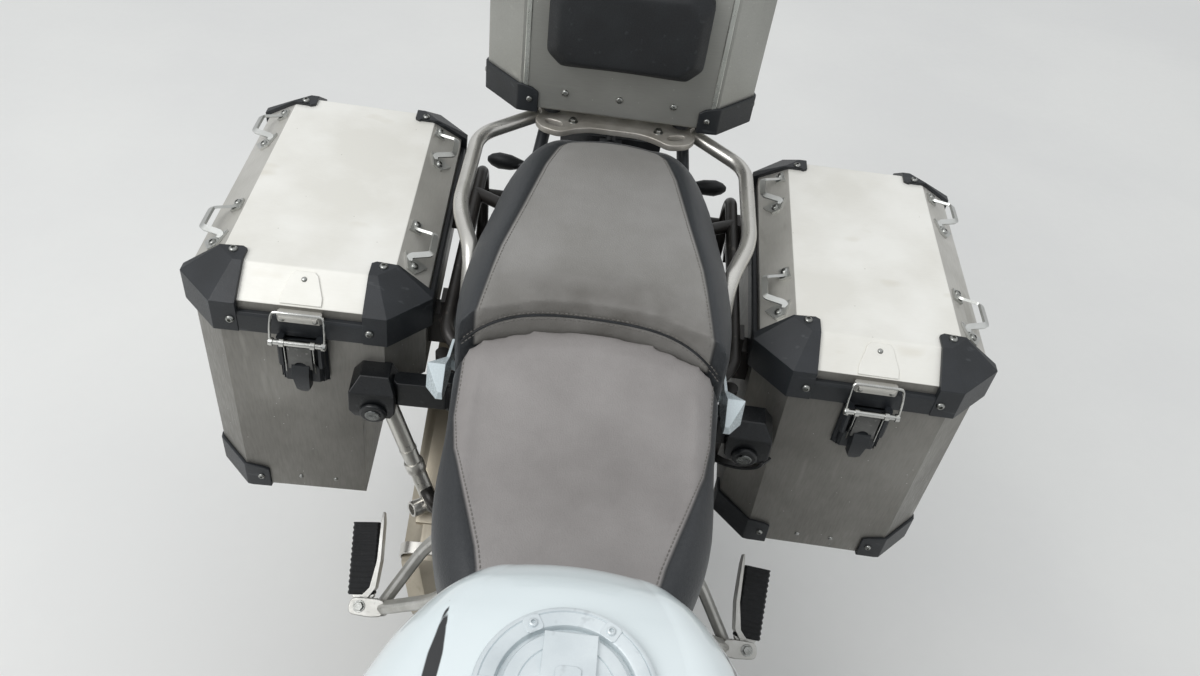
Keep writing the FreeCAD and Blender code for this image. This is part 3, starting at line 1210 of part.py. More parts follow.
# Where one piece is fitted round another on the same body, it is cut to that piece's surface
FITTED = (
    ("frame", ("swingarm",)),
    ("engine", ("frame", "crash_bars", "exhaust", "front_arm")),
    ("cockpit", ("frame", "windscreen")),
    ("headlight", ("cockpit",)),
    ("skid_plate", ("engine",)),
    ("silencer", ("exhaust",)),
    ("fuel_tank", ("frame", "filler_ring")),
    ("shocks", ("frame", "front_arm", "swingarm")),
    ("pannier_carriers", ("frame",)),
    ("luggage_rack", ("frame", "pannier_carriers", "topcase")),
    ("passenger_peg_brackets", ("frame", "silencer", "pannier_carriers")),
    ("rider_peg_brackets", ("frame",)),
    ("beak", ("headlight",)),
    ("rear_fender", ("frame", "pannier_carriers")),
    ("rider_seat", ("frame",)),
    ("tail_panels", ("frame", "luggage_rack", "pannier_carriers")),
    ("pillion_seat", ("frame", "luggage_rack", "pannier_carriers", "tail_panels")),
    ("radiators", ("fuel_tank", "engine", "crash_bars")),
    ("lamps", ("rear_fender", "headlight")),
    ("pannier_locks", ("pannier_carriers", "pannier_left", "pannier_right")),
    ("front_fender", ("fork_legs",)),
    ("handlebar", ("fork_legs",)),
    ("hand_guards", ("handlebar",)),
    ("bar_controls", ("handlebar", "hand_guards")),
)
for node, others in FITTED:
    nodes[node].Label = node + "_uncut"
    for other in others:
        nodes[node] = cut(f"{node}_round_{other}", nodes[node], nodes[other])
    keep(node, nodes[node])

# Each piece is checked, then written as its own file
doc.recompute()
broken = []
for thing in doc.Objects:
    if "Invalid" in thing.State or "Error" in thing.State:
        broken.append(thing.Name)
    if thing.TypeId.startswith("Part::") and (thing.Shape.isNull() or not thing.Shape.isValid()):
        broken.append(thing.Name + " shape")
os.makedirs("parts", exist_ok=True)
for node, thing in nodes.items():
    shape = thing.Shape
    if shape.isNull() or not shape.isValid():
        broken.append(node)
        continue
    shape.exportStep(f"parts/{node}.step")
if broken:
    raise RuntimeError("broken: " + ", ".join(broken))
print(len(nodes), "pieces written")
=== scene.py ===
from math import asin, cos, hypot, pi, radians, sin

import bmesh
import bpy
import numpy as np
from mathutils import Matrix, Vector
from mathutils.bvhtree import BVHTree


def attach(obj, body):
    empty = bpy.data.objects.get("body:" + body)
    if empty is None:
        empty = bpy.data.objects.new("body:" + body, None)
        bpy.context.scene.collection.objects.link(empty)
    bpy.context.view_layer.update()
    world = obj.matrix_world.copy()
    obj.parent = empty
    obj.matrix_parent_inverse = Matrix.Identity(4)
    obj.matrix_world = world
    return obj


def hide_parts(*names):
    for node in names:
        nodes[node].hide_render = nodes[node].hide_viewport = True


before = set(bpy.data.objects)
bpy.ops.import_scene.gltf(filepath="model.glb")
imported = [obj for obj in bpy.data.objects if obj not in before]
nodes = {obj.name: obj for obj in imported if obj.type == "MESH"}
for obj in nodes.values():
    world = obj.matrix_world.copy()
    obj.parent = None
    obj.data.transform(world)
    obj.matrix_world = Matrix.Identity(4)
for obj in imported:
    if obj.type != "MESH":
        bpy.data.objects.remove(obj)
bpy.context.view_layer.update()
scene = bpy.context.scene

# The view: a phone held above the handlebar, looking down and back along the machine.
# Its place and lens were worked out from like points on the left and right sides.
EYE = Vector((-0.0212, -0.3598, 1.5957))
eye_right = Vector((0.99200, 0.06366, 0.10904)).normalized()
eye_ahead = Vector((0.02905, 0.72533, -0.68778)).normalized()
lens = bpy.data.cameras.new("eye")
lens.lens = 26.41
lens.sensor_width = 36


def linked(name, data):
    """A new object, shown in the scene."""
    thing = bpy.data.objects.new(name, data)
    scene.collection.objects.link(thing)
    return thing


camera = linked("camera", lens)
eye_axes = Matrix((eye_right, eye_right.cross(eye_ahead), -eye_ahead)).transposed()
camera.matrix_world = Matrix.Translation(EYE) @ eye_axes.to_4x4()
scene.camera = camera
scene.view_settings.view_transform = "Standard"


# The studio: a pale floor under a bright overhead sky, with one large soft lamp.
# Every finish below is written with the same two functions, for a colour and for a node.
def linear(code):
    """A colour written as an sRGB hex value, turned to linear light for the shader."""
    parts = [int(code[i:i + 2], 16) / 255 for i in (1, 3, 5)]
    return [p / 12.92 if p <= 0.04045 else ((p + 0.055) / 1.055) ** 2.4 for p in parts] + [1.0]


def add(tree, kind, inputs=None, **settings):
    """Adds a node; each input is a plain value, or the socket that leads to it."""
    node = tree.nodes.new(kind)
    for name, value in settings.items():
        setattr(node, name, value)
    for key, value in (inputs or {}).items():
        if isinstance(value, bpy.types.NodeSocket):
            tree.links.new(value, node.inputs[key])
        else:
            node.inputs[key].default_value = value
    return node


def finish(name, colour, shade, metallic, gloss, patch, grain, depth, along=(1, 1, 1), swing=0.08, specks=None,
        scuffs=None, **more):
    """A finish of slow patches between two colours, with a finer grain in gloss and height.

    patch, grain and depth are millimetres; along stretches the grain where metal was brushed.
    specks is a colour, a spacing and a size; scuffs is a colour, a spacing, a share and a stretch.
    """
    material = bpy.data.materials.new(name)
    material.use_nodes = True
    tree = material.node_tree
    tree.nodes.clear()
    place = add(tree, "ShaderNodeTexCoord").outputs["Object"]
    clouds = add(tree, "ShaderNodeTexNoise", {"Vector": place, "Scale": 1000 / patch, "Detail": 4})
    lined = add(tree, "ShaderNodeMapping", {"Vector": place, "Scale": along})
    fine = add(tree, "ShaderNodeTexNoise", {"Vector": lined.outputs[0], "Scale": 1000 / grain, "Detail": 3})
    spread = add(tree, "ShaderNodeMapRange", {0: clouds.outputs[0], 1: 0.35, 2: 0.65})
    mixed = add(tree, "ShaderNodeMath", {0: fine.outputs[0], 1: 0.25}, operation="MULTIPLY")
    mixed = add(tree, "ShaderNodeMath", {0: spread.outputs[0], 1: mixed.outputs[0]}, operation="ADD")
    tint = add(tree, "ShaderNodeMix", {0: mixed.outputs[0], 6: linear(colour), 7: linear(shade)}, data_type="RGBA")
    tint = tint.outputs[2]
    if scuffs:
        code, wide, share, stretch = (*scuffs, (1, 1, 1))[:4]
        run = add(tree, "ShaderNodeMapping", {"Vector": place, "Scale": stretch, "Rotation": (0.1, 0.06, 0.2)})
        marks = add(tree, "ShaderNodeTexNoise", {"Vector": run.outputs[0], "Scale": 1000 / wide, "Detail": 2})
        shown = add(tree, "ShaderNodeMapRange", {0: marks.outputs[0], 1: 0.66, 2: 0.74, 3: 0.0, 4: share})
        tint = add(tree, "ShaderNodeMix", {0: shown.outputs[0], 6: tint, 7: linear(code)}, data_type="RGBA").outputs[2]
    if specks:
        code, apart, size = specks
        dots = add(tree, "ShaderNodeTexVoronoi", {"Vector": place, "Scale": 1000 / apart, "Randomness": 1.0})
        shown = add(tree, "ShaderNodeMath", {0: dots.outputs["Distance"], 1: size / apart}, operation="LESS_THAN")
        tint = add(tree, "ShaderNodeMix", {0: shown.outputs[0], 6: tint, 7: linear(code)}, data_type="RGBA").outputs[2]
    dull = add(
        tree, "ShaderNodeMapRange",
        {0: fine.outputs[0], 1: 0.3, 2: 0.7, 3: max(gloss - swing, 0.02), 4: gloss + swing},
    )
    bump = add(tree, "ShaderNodeBump", {"Strength": 1.0, "Distance": depth / 1000, "Height": fine.outputs[0]})
    values = {"Base Color": tint, "Metallic": metallic, "Roughness": dull.outputs[0], "Normal": bump.outputs[0],}
    values.update({key.replace("_", " "): value for key, value in more.items()})
    shader = add(tree, "ShaderNodeBsdfPrincipled", values)
    add(tree, "ShaderNodeOutputMaterial", {"Surface": shader.outputs[0]})
    return material


def piece(name, points, faces, *materials, marks=None, sharp=35, edge=0.0, mend=True):
    """A mesh object with its place in its mesh; edges sharper than sharp degrees stay or are rounded."""
    mesh = bpy.data.meshes.new(name)
    mesh.from_pydata([tuple(p) for p in points], [], faces)
    for material in materials:
        mesh.materials.append(material)
    if marks:
        mesh.polygons.foreach_set("material_index", marks)
    if mend:
        shape = bmesh.new()
        shape.from_mesh(mesh)
        bmesh.ops.remove_doubles(shape, verts=shape.verts, dist=0.00001)
        bmesh.ops.recalc_face_normals(shape, faces=shape.faces)
        shape.to_mesh(mesh)
        shape.free()
    mesh.polygons.foreach_set("use_smooth", [True] * len(mesh.polygons))
    thing = linked(name, mesh)
    if edge:
        round_edges(thing, edge, sharp)
    elif sharp:
        mesh.set_sharp_from_angle(angle=radians(sharp))
    return thing


def round_edges(thing, edge, sharp=30, steps=2):
    """Rounds every edge that is sharper than sharp degrees."""
    bevel = thing.modifiers.new("rounded_edges", "BEVEL")
    bevel.width = edge / 1000
    bevel.segments = steps
    bevel.limit_method = "ANGLE"
    bevel.angle_limit = radians(sharp)
    bevel.harden_normals = True


floor_grey = finish(  # plain pale board, almost without shine
    "studio_floor_painted_board", "#E9E9E6", "#E3E3E1", 0, 0.62, 900, 30, 0.05,
)
floor = piece("studio_floor", [(-30, -30, 0), (30, -30, 0), (30, 30, 0), (-30, 30, 0)], [(0, 1, 2, 3)], floor_grey)

sky = bpy.data.worlds.new("studio_sky")
scene.world = sky
sky.use_nodes = True
sky.node_tree.nodes.clear()
way = add(sky.node_tree, "ShaderNodeTexCoord").outputs["Generated"]
height = add(sky.node_tree, "ShaderNodeSeparateXYZ", {0: way}).outputs[2]
rise = add(sky.node_tree, "ShaderNodeMapRange", {0: height, 1: -0.1, 2: 0.9, 3: 0.45, 4: 0.95})
overhead = add(sky.node_tree, "ShaderNodeBackground", {0: linear("#F8FAFC"), 1: rise.outputs[0]})
plain = add(sky.node_tree, "ShaderNodeBackground", {0: linear("#F4F4F2"), 1: 1.0})
seen = add(sky.node_tree, "ShaderNodeLightPath").outputs["Is Camera Ray"]
both = add(sky.node_tree, "ShaderNodeMixShader", {0: seen, 1: overhead.outputs[0], 2: plain.outputs[0]})
add(sky.node_tree, "ShaderNodeOutputWorld", {0: both.outputs[0]})
lamp = bpy.data.lights.new("soft_lamp", "AREA")
lamp.shape = "DISK"
lamp.size = 2.6
lamp.energy = 70
lamp_stand = linked("soft_lamp", lamp)
lamp_stand.location = (-2.2, -1.4, 3.6)
lamp_stand.rotation_euler = (Vector((0, 0, 0.7)) - lamp_stand.location).to_track_quat("-Z", "Y").to_euler()


# The side cases: tumbled alloy sheet, a black band, faceted corner caps and bent lashing loops.
# The small forms, fixings and repeats that they share with later pieces are made here first.
REAR_AXLE = 725  # mm from the middle of the machine back to the rear wheel's axis


def at(x, behind, z):
    """A point of the row frame from millimetres: across, behind the rear axle, and up."""
    return Vector((x, REAR_AXLE + behind, z)) / 1000


def fit(thing, body, slot, *stood_for):
    """Sets a finished piece on its body and hides the solids of the source that it stands for; slot is not used."""
    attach(thing, body)
    if stood_for:
        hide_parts(*stood_for)
    return thing


# Small hard forms: each gives its points and faces in millimetres, and put() sets it in its place.
# ROW is the machine's own frame: across, behind the rear axle, and up.
moved = Matrix.Translation
MM = Matrix.Diagonal((0.001, 0.001, 0.001, 1))
ROW = moved((0, REAR_AXLE / 1000, 0)) @ MM


def angles(steps, start=0.0):
    """Angles at an even pitch round a circle."""
    return np.linspace(start, start + 2 * pi, steps, endpoint=False)


def put(form, place):
    """The form moved by a matrix."""
    return [place @ Vector(p) for p in form[0]], form[1]


def together(*forms):
    """Several forms as one."""
    points, faces = [], []
    for some, sides in forms:
        start = len(points)
        points += [tuple(p) for p in some]
        faces += [tuple(i + start for i in side) for side in sides]
    return points, faces


def lofted(rings, ends=True, round_trip=False):
    """A skin through rings of like points, closed at both ends or back onto its first ring."""
    n, m = len(rings[0]), len(rings)
    points = [p for ring in rings for p in ring]
    faces = []
    for k in range(m if round_trip else m - 1):
        low, high = k * n, (k + 1) % m * n
        faces += [(low + i, low + (i + 1) % n, high + (i + 1) % n, high + i) for i in range(n)]
    if ends and not round_trip:
        faces += [tuple(range(n))[::-1], tuple(range(m * n - n, m * n))]
    return points, faces


def plate(outline, thick, place=Matrix()):
    """A flat form: an outline in its own plane, thick along z."""
    return put(lofted([[(x, y, 0) for x, y in outline], [(x, y, thick) for x, y in outline]]), place)


def cut_plan(a, b, e, f, c):
    """A rectangle from (a, e) to (b, f) whose corners are cut off by c."""
    return [(a + c, e), (b - c, e), (b, e + c), (b, f - c), (b - c, f), (a + c, f), (a, f - c), (a, e + c)]


def block(low, high, chamfer=0):
    """A block between two corners, its upright edges cut off."""
    (a, e, z), (b, f, top) = low, high
    plan = cut_plan(a, b, e, f, chamfer) if chamfer else [(a, e), (b, e), (b, f), (a, f)]
    return plate(plan, top - z, moved((0, 0, z)))


def lathed(profile, place=Matrix(), steps=24):
    """A turned form from (radius, height) pairs round the z axis."""
    turns = [(cos(t), sin(t)) for t in angles(steps)]
    return put(lofted([[(r * x, r * y, z) for x, y in turns] for r, z in profile], ends=False), place)


def facing(spot, way, turn=(0, 0, 1)):
    """A place at spot whose z axis looks along way, and whose x axis leans towards turn."""
    z = Vector(way).normalized()
    x = Vector(turn) - z * z.dot(Vector(turn))
    if x.length < 1e-4:
        x = z.orthogonal()
    x.normalize()
    return moved(Vector(spot)) @ Matrix((x, z.cross(x), z)).transposed().to_4x4()


def softened(path, reach, steps=5):
    """A path whose corners are rounded, starting reach before and after each."""
    path = [Vector(p) for p in path]
    line = [path[0]]
    for before, here, after in zip(path, path[1:], path[2:]):
        a = here + (before - here).normalized() * min(reach, (before - here).length * 0.49)
        b = here + (after - here).normalized() * min(reach, (after - here).length * 0.49)
        for t in np.linspace(0, 1, steps + 1):
            line.append(a * (1 - t) ** 2 + here * 2 * t * (1 - t) + b * t * t)
    return line + [path[-1]]


def swept(path, section, up=(0, 0, 1), ends=True):
    """A section of (aside, up) pairs carried along a path without twisting."""
    path = [Vector(p) for p in path]
    rings, lift = [], Vector(up)
    for i, here in enumerate(path):
        before, after = path[max(i - 1, 0)], path[min(i + 1, len(path) - 1)]
        way = (after - before).normalized()
        aside = way.cross(lift)
        if aside.length < 1e-4:
            aside = way.orthogonal()
        aside.normalize()
        lift = aside.cross(way)
        rings.append([here + aside * a + lift * b for a, b in section])
    return lofted(rings, ends)


def circle(radius, steps=14):
    """A round section."""
    return [(radius * cos(t), radius * sin(t)) for t in angles(steps)]


def bar(wide, thick):
    """A flat section."""
    return [(-wide / 2, -thick / 2), (wide / 2, -thick / 2), (wide / 2, thick / 2), (-wide / 2, thick / 2)]


def made(name, form, slot, material, *stood_for, place=ROW, body="chassis", edge=0.0, sharp=35):
    """One finished piece from a form."""
    thing = piece(name, *put(form, place), material, edge=edge, sharp=sharp)
    return fit(thing, body, slot, *stood_for)


# Geometry Nodes carry whatever repeats: screws, rivets, stitches, spokes and tread blocks.
# Each spot brings its place, the way it faces and the way it is turned.
repeat_tree = bpy.data.node_groups.new("repeat_on_spots", "GeometryNodeTree")
for title, kind in (("Spots", "NodeSocketGeometry"), ("Item", "NodeSocketObject"), ("Size", "NodeSocketFloat"),
        ("Material", "NodeSocketMaterial")):
    repeat_tree.interface.new_socket(title, in_out="INPUT", socket_type=kind)
repeat_tree.interface.new_socket("Pieces", in_out="OUTPUT", socket_type="NodeSocketGeometry")
inlet = add(repeat_tree, "NodeGroupInput")
faced = add(repeat_tree, "GeometryNodeInputNamedAttribute", {"Name": "facing"}, data_type="FLOAT_VECTOR")
headed = add(repeat_tree, "GeometryNodeInputNamedAttribute", {"Name": "heading"}, data_type="FLOAT_VECTOR")
upright = add(repeat_tree, "FunctionNodeAlignRotationToVector", {"Vector": faced.outputs["Attribute"]}, axis="Z")
turned = add(
    repeat_tree, "FunctionNodeAlignRotationToVector",
    {"Rotation": upright.outputs[0], "Vector": headed.outputs["Attribute"]}, axis="X", pivot_axis="Z",
)
item = add(repeat_tree, "GeometryNodeObjectInfo", {"Object": inlet.outputs["Item"]})
copies = add(repeat_tree, "GeometryNodeInstanceOnPoints", {
    "Points": inlet.outputs["Spots"], "Instance": item.outputs["Geometry"], "Rotation": turned.outputs[0],
    "Scale": inlet.outputs["Size"],
})
real = add(repeat_tree, "GeometryNodeRealizeInstances", {"Geometry": copies.outputs[0]})
coated = add(repeat_tree, "GeometryNodeSetMaterial", {"Geometry": real.outputs[0],
        "Material": inlet.outputs["Material"]})
add(repeat_tree, "NodeGroupOutput", {"Pieces": coated.outputs[0]})
repeat_inputs = {row.name: row.identifier for row in repeat_tree.interface.items_tree if row.in_out == "INPUT"}


def evaluated(thing, name):
    """A plain mesh of an object as its modifiers leave it."""
    depsgraph = bpy.context.evaluated_depsgraph_get()
    mesh = bpy.data.meshes.new_from_object(thing.evaluated_get(depsgraph))
    mesh.name = name
    return mesh


def spots_on(place, rows):
    """Rows of place, facing and heading in a local frame, moved to the world; the heading is across if not given."""
    turn = place.to_3x3()
    return [(place @ Vector(p), turn @ Vector(n), turn @ Vector(h[0] if h else (1, 0, 0))) for p, n, *h in rows]


def repeated(name, place, rows, form, slot, material, size=1.0, edge=0.0, body="chassis"):
    """Sets a small form at every row of place, facing and heading, as one mesh."""
    spots = spots_on(place, rows)
    pattern = piece(name + "_item", *put(form, MM), edge=edge)
    spread = bpy.data.meshes.new(name + "_spots")
    spread.from_pydata([tuple(spot[0]) for spot in spots], [], [])
    for title, k in (("facing", 1), ("heading", 2)):
        store = spread.attributes.new(title, "FLOAT_VECTOR", "POINT")
        store.data.foreach_set("vector", [c for spot in spots for c in Vector(spot[k]).normalized()])
    carrier = linked(name + "_carrier", spread)
    work = carrier.modifiers.new("repeat", "NODES")
    work.node_group = repeat_tree
    work[repeat_inputs["Item"]] = pattern
    work[repeat_inputs["Size"]] = size
    work[repeat_inputs["Material"]] = material
    mesh = evaluated(carrier, name)
    for title in ("facing", "heading"):
        if title in mesh.attributes:
            mesh.attributes.remove(mesh.attributes[title])
    bpy.data.objects.remove(carrier)
    bpy.data.objects.remove(pattern)
    return fit(linked(name, mesh), body, slot)


# A dome-headed socket screw and a rivet, both seated a little below the surface.
hexagon = [(cos(t), sin(t)) for t in angles(6)]
dome_screw = together(
    lathed([(0, -1), (5, -1), (5.2, 0.2), (5.0, 1.4), (4.2, 2.5), (3.0, 3.1), (2.3, 3.2)], steps=20),
    lofted([[(2.3 * x, 2.3 * y, 3.2) for x, y in hexagon], [(2.2 * x, 2.2 * y, 1.0) for x, y in hexagon],
            [(0.01 * x, 0.01 * y, 0.8) for x, y in hexagon]], ends=False),
)
rivet = lathed([(0, -1), (3.4, -1), (3.4, 0.2), (3.0, 1.0), (2.0, 1.7), (0.9, 1.9), (0, 1.9)], steps=14)
screw_steel = finish("zinc_plated_screw", "#B4B5B2", "#8F908C", 1.0, 0.3, 9, 1.2, 0.01)  # slightly dulled plating


# A side case's own frame runs u outwards from the inner wall, v towards the rear and w up from its foot.
CASE_WIDE, CASE_HALF = 280, 228  # its plan: across, and half its length


def case_frame(sign):
    """The place of a side case, from millimetres in its own frame to metres in the world."""
    mirror = Matrix.Diagonal((sign, 1, 1, 1))
    place = moved(at(sign * 218, -104, 830)) @ Matrix.Rotation(radians(-sign * 3.5), 4, "Z")
    place = place @ Matrix.Rotation(radians(-sign * 2.5), 4, "Y") @ moved((0, 0, -0.306))
    return place @ MM @ mirror


def hoop(inset, w, corner):
    """The plan of a side case at height w, with cut corners."""
    plan = cut_plan(inset, CASE_WIDE - inset, inset - CASE_HALF, CASE_HALF - inset, corner)
    return [(u, v, w) for u, v in plan]


def corner_cap(spot, columns, inner, heights, narrow=(999, 999)):
    """A faceted cap over a cut corner: two columns on one wall, mirrored on the other, which may be narrower."""
    (flat, tuck, lap), (low, brow, top, under, lining) = inner, heights
    one = [[(a, b, low), (a, b, brow), (e, f, top), (g, h, top), (g, h, under), (e if a > 60 else flat, tuck, under),
            (a if a > 60 else lap, 1, lining), (a if a > 60 else lap, 1, low)] for a, b, e, f, g, h in columns]
    other = [[(q, p, w) for p, q, w in ring] for ring in one]
    other[0] = [(p, min(q, narrow[w > brow]), w) for p, q, w in other[0]]
    return lofted([[spot(*p) for p in ring] for ring in (one[0], one[1], other[1], other[0])])


def thicken(thing, thick, side=-1):
    """Gives a skin the thickness of its sheet, in millimetres, inwards or outwards."""
    sheet = thing.modifiers.new("sheet", "SOLIDIFY")
    sheet.thickness, sheet.offset = thick / 1000, side


def bent_shoe(spot, cut, heights, long=30):
    """A bent guard round the foot of a cut corner; spot gives places from the two walls and the foot."""
    low, mid, high = heights
    rows = [(cut + long, 0, low), (cut + long - 8, 0, mid), (cut + 4, 0, high), (cut, 0, high)]
    rings = []
    for a, b, top in rows + [(q, p, w) for p, q, w in rows[::-1]]:
        out_a, out_b = (-4, 0) if a == 0 and b > cut else (0, -4) if b == 0 and a > cut else (-3, -3)
        in_a, in_b = (8, 1) if a == 0 else (1, 8)
        rings.append([spot(*p) for p in (
            (a + out_a, b + out_b, -3.6), (a + out_a, b + out_b, top), (a + 0.4 * (a == 0), b + 0.4 * (b == 0), top),
            (a + 0.4 * (a == 0), b + 0.4 * (b == 0), 0.6), (a + in_a, b + in_b, 0.4), (a + in_a, b + in_b, -3.6),
        )])
    return lofted(rings)


case_metal = finish(
    "tumbled_case_sheet", "#918F8A", "#7F7D78", 0.7, 0.48, 110, 2.2, 0.06, along=(1, 1, 0.12), swing=0.1,
    specks=("#CFCFCA", 13, 0.6), scuffs=("#A5A39D", 24, 0.4, (1, 1, 0.16)),  # grey sheet with a few bright nicks
)
lid_metal = finish(
    "pale_lid_sheet", "#F1F0EA", "#E3E1D9", 0.15, 0.42, 120, 1.8, 0.03, along=(0.2, 1, 1), swing=0.07,
    specks=("#B9B6AC", 24, 0.7), scuffs=("#CBC4B2", 55, 0.4, (0.5, 1, 1)),  # pale satin top with faint stains
)
# Painted shade: the sloped sides and corners of each lid are the same sheet as its top, given a darker copy of its
# colour.
shaded_slope_metal = finish(
    "painted_shade_lid_slope", "#D4D2CC", "#C1BFB8", 0.6, 0.44, 120, 2.0, 0.04, along=(1, 0.15, 1), swing=0.1,
    specks=("#C9C9C4", 14, 0.6), scuffs=("#A9A69D", 26, 0.5, (1, 0.2, 1)),  # darker brushed slope beside it: the top's sheet, darker as painted shade
)
cap_plastic = finish(
    "grained_black_corner_plastic", "#25282C", "#1C1F22", 0, 0.46, 60, 1.4, 0.12, swing=0.08,
    scuffs=("#4A4D50", 8, 0.4, (0.2, 1, 1)),  # blue-black with paler rubbed streaks
)
bright_wire = finish("chromed_wire", "#CFCFCB", "#B9B9B5", 1.0, 0.16, 30, 2, 0.01)  # mirror-like with haze
lever_plate = finish(  # grey, with paler scuffs
    "dull_latch_lever", "#6F6F6D", "#5C5C5A", 0.7, 0.42, 20, 1.4, 0.03, scuffs=("#A5A5A2", 6, 0.4),
)
loop_metal = finish("satin_loop_strip", "#D2D3D0", "#BDBEBA", 0.9, 0.36, 40, 1.4, 0.03)  # satin strip
for side, sign in (("left", 1), ("right", -1)):
    case = case_frame(sign)
    lid = "lid_" + side
    # lid shell: flat top almost to its corners, sloped sides, a short upright lip
    shell = lofted([hoop(0, 306.4, 44), hoop(0, 336.4, 44), hoop(0, 349.4, 44), hoop(40, 376.4, 21)])
    shell = (shell[0], [face for face in shell[1] if face != tuple(range(8))[::-1]])
    # the sides and corners take the painted-shade copy of the lid's sheet; the upright wall below takes the case sheet
    faces_of = {16 + k: 1 for k in (1, 2, 3, 5, 6, 7)} | {k: 2 for k in range(16)}
    tints = [faces_of.get(k, 0) for k in range(len(shell[1]))]
    top = piece(lid + "_shell", *put(shell, case), lid_metal, shaded_slope_metal, case_metal, marks=tints, mend=False)
    way = bmesh.new()
    way.from_mesh(top.data)
    bmesh.ops.recalc_face_normals(way, faces=way.faces)
    if sum(face.normal.z * face.calc_area() for face in way.faces) < 0:
        bmesh.ops.reverse_faces(way, faces=way.faces)
    way.to_mesh(top.data)
    way.free()
    thicken(top, 2.5)
    round_edges(top, 2.2, 20, 3)
    fit(top, lid, "lid_paint", lid)

    # band round the rim, and a cap over each corner
    ledge = [hoop(-6.8, 307.2, 47), hoop(-7.2, 308.4, 47), hoop(-7.2, 333, 47), hoop(-5.4, 336.4, 46),
        hoop(-0.2, 337, 44.1),
        hoop(-0.2, 306.6, 44.1)]
    forms = [lofted(ledge, round_trip=True)]
    bolts = []
    for iu in (0, 1):
        for iv in (-1, 1):
            def corner(a, b, w):
                """A place from the two walls, and up."""
                return (CASE_WIDE - a if iu else a, iv * (CASE_HALF - b), w)

            forms.append(corner_cap(corner, ((68, -8, 68, 36, 68, 58), (39, -8, 57, 36, 62, 62)), (60, 42, 45),
                (306.8, 351, 380.4, 375, 348), (52, 60)))
            bolts.append((corner(53, 53, 380.4), (0, 0, 1)))
            bolts.append((corner(60, -8, 326), (0, iv, 0)))
    band = piece(lid + "_band_and_caps", *put(together(*forms), case), cap_plastic, edge=1.8, sharp=22)
    fit(band, lid, "black_plastic", "lid_trim_" + side)
    made(
        lid + "_hinge_leaf", together(
            lathed([(0, -24), (8, -24), (8, 24), (0, 24)], facing((140, 242, 306), (1, 0, 0))),
            block((116, 235, 307.4), (164, 244, 315.4), 2),
        ), "black_plastic", cap_plastic, edge=1, place=case, body=lid,
    )

    # lashing loops: flat strip bent into a bridge, with a three-cornered foot at one end
    loops, slope = [], hypot(40, 27)
    for iu, v in ((0, -116), (0, 112), (1, -116), (1, 106)):
        def on_slope(along, down, off):
            """A point over the lid's sloped side: down from its crease, and off its face."""
            u = 40 - (down * 40 + off * 27) / slope
            w = 376.4 - (down * 27 - off * 40) / slope
            return Vector((CASE_WIDE - u if iu else u, v + along, w))

        way = on_slope(0, 0, 1) - on_slope(0, 0, 0)
        path = [on_slope(*p) for p in ((40, 12, 1.5), (32, 13, 4), (24, 33, 18), (-16, 33, 18), (-24, 12, 4),
            (-30, 14, 1.6))]
        loops.append(swept(softened(path, 5, 4), bar(7.5, 3.4), up=way))
        foot = [on_slope(*p) for p in ((-18, 6, 0.2), (-44, 14, 0.2), (-46, 26, 0.2), (-24, 40, 0.2))]
        loops.append(lofted([foot, [p + way * 2.8 for p in foot]]))
        foot = [on_slope(*p) for p in ((26, 4, 0.2), (48, 6, 0.2), (48, 20, 0.2), (28, 20, 0.2))]
        loops.append(lofted([foot, [p + way * 2.8 for p in foot]]))
        bolts.append((on_slope(-35, 22, 3), way, (0, 1, 0)))
        bolts.append((on_slope(41, 12, 3), way, (0, 1, 0)))
    made(lid + "_lashing_loops", together(*loops), "stainless_steel", loop_metal, edge=0.9, place=case, body=lid)
    repeated(lid + "_screws", case, bolts, dome_screw, "stainless_steel", screw_steel, body=lid)

    # plate on the front slope that the wire bail hooks over
    slim = moved((140, 0, 0)) @ Matrix.Diagonal((0.8, 1, 1, 1)) @ moved((-140, 0, 0))
    clasp = case @ slim
    slant = facing((140, -208, 362.8), (0, -27, 40), (1, 0, 0))
    keeper = [(-30, -22), (30, -22), (30, -12), (19, 15), (14, 19), (-14, 19), (-19, 15), (-30, -12)]
    made(lid + "_keeper", plate(keeper, 2.6, slant @ moved((0, 0, -0.4))), "lid_paint", lid_metal,
         edge=0.9, place=clasp, body=lid)
    # the hook takes the painted-shade copy of the lid's sheet
    made(lid + "_hook", together(block((108, -239, 333), (172, -227, 344), 3),
                                 block((112, -243, 341), (168, -236, 345), 1)),
         "lid_paint", shaded_slope_metal, edge=0.9, place=clasp, body=lid)
    repeated(lid + "_keeper_rivets", case, [
        (slant @ Vector((0, 9, 2)), (0, -27, 40), (1, 0, 0)), ((121, -239, 338), (0, -1, 0)),
        ((159, -239, 338), (0, -1, 0)),
    ], rivet, "stainless_steel", screw_steel, body=lid)

